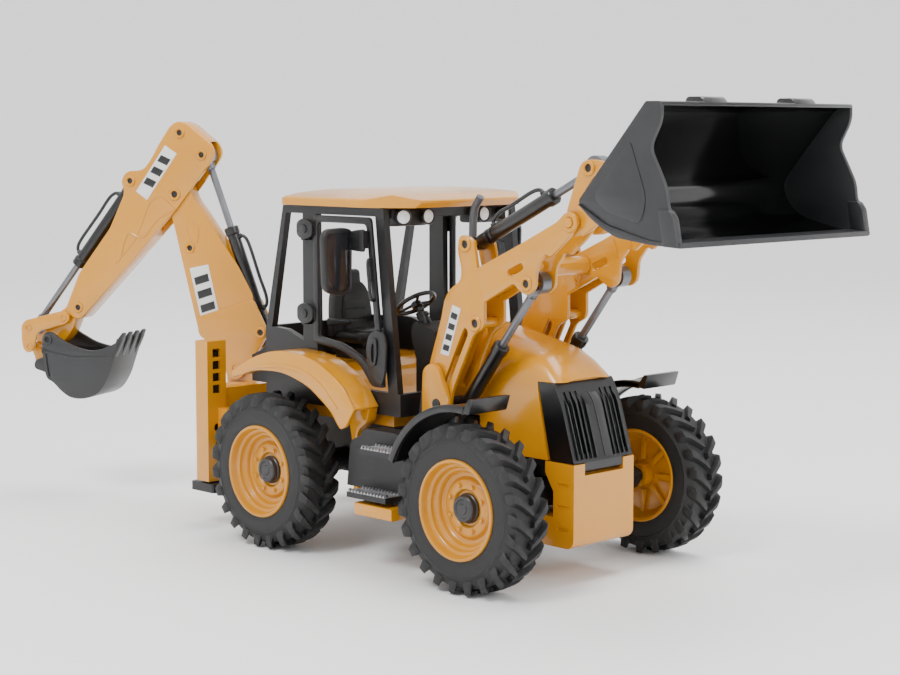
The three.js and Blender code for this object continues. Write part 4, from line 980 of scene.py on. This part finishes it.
DIPPER_RAM = (flipped(DIPPER_BASE), flipped(DIPPER_EYE), 0, 71.6, 34, 4.2, 2.2)
BUCKET_RAM = (flipped(BUCKET_BASE), flipped(LEVER_EYE), 0, 72.6, 20, 3.4, 2.2)
piece("dipper_cylinder", one(0, *DIPPER_RAM, plane=-1), BLACK, "dipper_barrel", ["dipper_barrel"],
      HOE)
piece("dipper_rod_bright", one(1, *DIPPER_RAM), STEEL, "dipper_rod", ["dipper_rod"], HOE)
piece("bucket_cylinder", one(0, *BUCKET_RAM, plane=-1), BLACK, "bucket_barrel", ["bucket_barrel"],
      HOE)
piece("bucket_rod_bright", one(1, *BUCKET_RAM), STEEL, "bucket_rod", ["bucket_rod"], HOE)

LEVER = [[184, 114, 4], [181, 117.6, 4], [150.4, 125.4, 4], [146.6, 122.4, 3], [147, 118, 3],
         [150.6, 115.8, 3], [169.4, 111, 3], [172.1, 108.1, 3], [175, 97.5, 3], [179.2, 95.2, 3],
         [182.6, 97.5, 3], [184, 103.1, 3]]
lever_parts = both(LEVER, 7.9, 10)
for at, r in ((LEVER_PIVOT, 2), (LEVER_EYE, 1.9), (LEVER_END, 1.8), ((166, 116), 1.6)):
    lever_parts.append(pin(flipped(at), r, -9, 9))
for s in (-1, 1):
    for at in (LEVER_PIVOT, LEVER_EYE, LEVER_END):
        lever_parts += boss(flipped(at), 2.8, s * 9.8, s * 10.7)
piece("lever_plates", lever_parts, PAINT, "bucket_lever", ["bucket_lever"], HOE)
piece("lever_plates_pins", pin_heads(), BLACK_SATIN, "bucket_lever", (), HOE)

LINK = [[181.6, 99.5, 3], [178, 103.1, 3], [174.4, 100, 3], [170, 90, 3], [169.2, 86, 3], [172.5, 82.8, 3],
        [177.4, 85.5, 3], [178, 92, 2]]
round_hole = [[LINK_END[0] + 2.6 * math.cos(t), LINK_END[1] + 2.6 * math.sin(t)] for t in round_steps(24)]
piece("bucket_hook", [sheet(LINK, -3.4, 3.4, [round_hole], 0.6)], PAINT, "bucket_link",
      ["bucket_link"], HOE)

HOE_BUCKET = [[164.1, 106.7, 3], [161.8, 110.7, 3], [157.2, 111.5, 3], [152.8, 108.3, 3], [140.2, 102.1, 5],
              [126.9, 99.3, 6], [117.4, 101.3, 5], [110.4, 104.3, 2], [105, 107.3, 1], [110.7, 92.2, 5],
              [114.6, 81.4, 5], [120.5, 72.5, 5], [127.5, 68.6, 5], [135.8, 67, 5], [143.5, 67.8, 4],
              [149.8, 71.7, 4], [156.1, 77.6, 3], [160.4, 79.6, 3], [161.8, 82.7, 3], [162.9, 90.5, 4],
              [164.3, 100, 3]]
HOE_SHEET = [[104.6, 108.2, 0.5], [110.4, 92.4, 5], [114.3, 81.4, 5], [120.3, 72.3, 5], [127.4, 68.2, 5],
             [135.8, 66.6, 5], [143.6, 67.4, 4], [150, 71.3, 4], [156.2, 77.2, 3], [160.7, 79.2, 3],
             [162.2, 82.7, 3], [163.3, 90.5, 3], [163.8, 97, 0.5], [161.8, 97, 0.5], [160.8, 90.7, 3],
             [159.7, 84, 3], [158.4, 81.2, 3], [155.3, 79.7, 3], [148.5, 73.4, 4], [142.8, 70, 4],
             [135.8, 69.2, 5], [128, 70.8, 5], [121.9, 74.3, 5], [116.6, 82.6, 5], [112.8, 92.9, 5],
             [106.9, 108.4, 0.5]]
bucket_parts = [sheet(HOE_SHEET, -15.9, 15.9, edge=0.3, steps=10)]
bucket_parts += both(HOE_BUCKET, 13.8, 16, steps=10)
bucket_parts += both([[164, 99, 0.5], [164.3, 96.8, 0.5], [140, 93.5, 4], [110.4, 95.4, 0.5],
                      [110, 97, 0.5], [140, 95.2, 4]], 15.9, 16.5, edge=0.2)
bucket_parts += both([[164.3, 100, 1], [162.9, 90.5, 2], [161.8, 82.7, 2], [160.4, 79.6, 1], [158.6, 81, 1],
                      [159.6, 84, 2], [160.4, 90.5, 2], [161.8, 100, 1]], 15.9, 16.5, edge=0.2)
bucket_parts += both([[159.5, 96, 1], [166, 94, 3], [176.6, 90, 4], [177, 84.6, 4], [172, 83.2, 3],
                      [159, 79.6, 1], [160.5, 84], [161, 92]], 4, 6.2, edge=0.4)
bucket_parts += [pin(flipped(LINK_END), 1.5, -5, 5), pin(flipped(BUCKET_PIVOT), 2.2, -15, 15)]
for s in (-1, 1):
    bucket_parts += boss(flipped(BUCKET_PIVOT), 3.4, s * 15.8, s * 17)
for v in (-13.2, -4.5, 4.5, 13.2):
    bucket_parts.append(sheet([[109.4, 95.4, 0.5], [104.2, 105.6, 2], [101.8, 111.9, 0.4],
                               [103.2, 112.5, 0.4], [107.4, 107.4, 1], [111.8, 98, 0.5]], v - 2.1, v + 2.1,
                              edge=0.5))
piece("digging_bucket", bucket_parts, BUCKET_GREY, "backhoe_bucket", ["backhoe_bucket"], HOE)
piece("digging_bucket_pins", pin_heads(), BLACK_SATIN, "backhoe_bucket", (), HOE)

# ---------- stage, lights, camera


def plain(name, colour, rough):
    mat = bpy.data.materials.new(name)
    mat.use_nodes = True
    inputs = mat.node_tree.nodes["Principled BSDF"].inputs
    inputs["Base Color"].default_value = (*colour, 1)
    inputs["Roughness"].default_value = rough
    return mat


# Pale floor that curves up all round into a wall, so that no edge shows behind the toy
BOWL_FLAT, BOWL_CURVE, BOWL_WALL, BOWL_SIDES = 2.2, 1.3, 3.4, 96
bowl = [(0.02, 0), (BOWL_FLAT, 0)]
for k in range(1, 13):
    a = math.pi / 2 * k / 12
    bowl.append((BOWL_FLAT + BOWL_CURVE * math.sin(a), BOWL_CURVE * (1 - math.cos(a))))
bowl.append((BOWL_FLAT + BOWL_CURVE, BOWL_WALL))
floor_points, floor_faces = [(0, 0, 0)], []
for r, z in bowl:
    floor_points += [(r * math.cos(t), r * math.sin(t), z) for t in round_steps(BOWL_SIDES)]
for k in range(BOWL_SIDES):
    nxt = (k + 1) % BOWL_SIDES
    floor_faces.append((0, 1 + k, 1 + nxt))
    for row in range(len(bowl) - 1):
        low, high = 1 + row * BOWL_SIDES, 1 + (row + 1) * BOWL_SIDES
        floor_faces.append((low + k, high + k, high + nxt, low + nxt))
floor_mesh = bpy.data.meshes.new("floor")
floor_mesh.from_pydata(floor_points, [], floor_faces)
floor_mesh.polygons.foreach_set("use_smooth", [True] * len(floor_mesh.polygons))
floor_mesh.materials.append(plain("floor", (0.9, 0.9, 0.9), 0.6))
floor = new_object("floor", floor_mesh)

WORLD_STRENGTH = 1.45
world = bpy.data.worlds.new("studio")
bpy.context.scene.world = world
world.use_nodes = True
world.node_tree.nodes["Background"].inputs["Color"].default_value = (1, 1, 1, 1)
world.node_tree.nodes["Background"].inputs["Strength"].default_value = WORLD_STRENGTH


def area(name, at, target, size, power):
    data = bpy.data.lights.new(name, "AREA")
    data.energy = power
    data.size = size
    light = new_object(name, data)
    light.location = at
    light.rotation_euler = (Vector(target) - Vector(at)).to_track_quat("-Z", "Y").to_euler()


area("key", (0.2, -1.3, 1.7), (0, 0, 0.1), 0.6, 26)
area("top", (0.2, 0.6, 2.0), (0, 0, 0.1), 1.2, 26)
area("front", (1.7, 0.2, 0.9), (0.1, 0, 0.1), 0.7, 9)

CAMERA_X, CAMERA_Y, CAMERA_Z = 863.3, -784.9, 245.1
CAMERA_DOWN, CAMERA_TURN = 5.736, 45.441
camera_data = bpy.data.cameras.new("camera")
camera_data.lens = 76.12
camera_data.sensor_width = 36
camera_data.shift_x = 0.0090
camera_data.shift_y = -0.0167
camera_data.clip_start = 0.01
camera = new_object("camera", camera_data)
camera.location = ((CAMERA_X - ORIGIN_X) * MM, CAMERA_Y * MM, CAMERA_Z * MM)
camera.rotation_euler = (math.radians(90 - CAMERA_DOWN), 0, math.radians(CAMERA_TURN))
bpy.context.scene.camera = camera
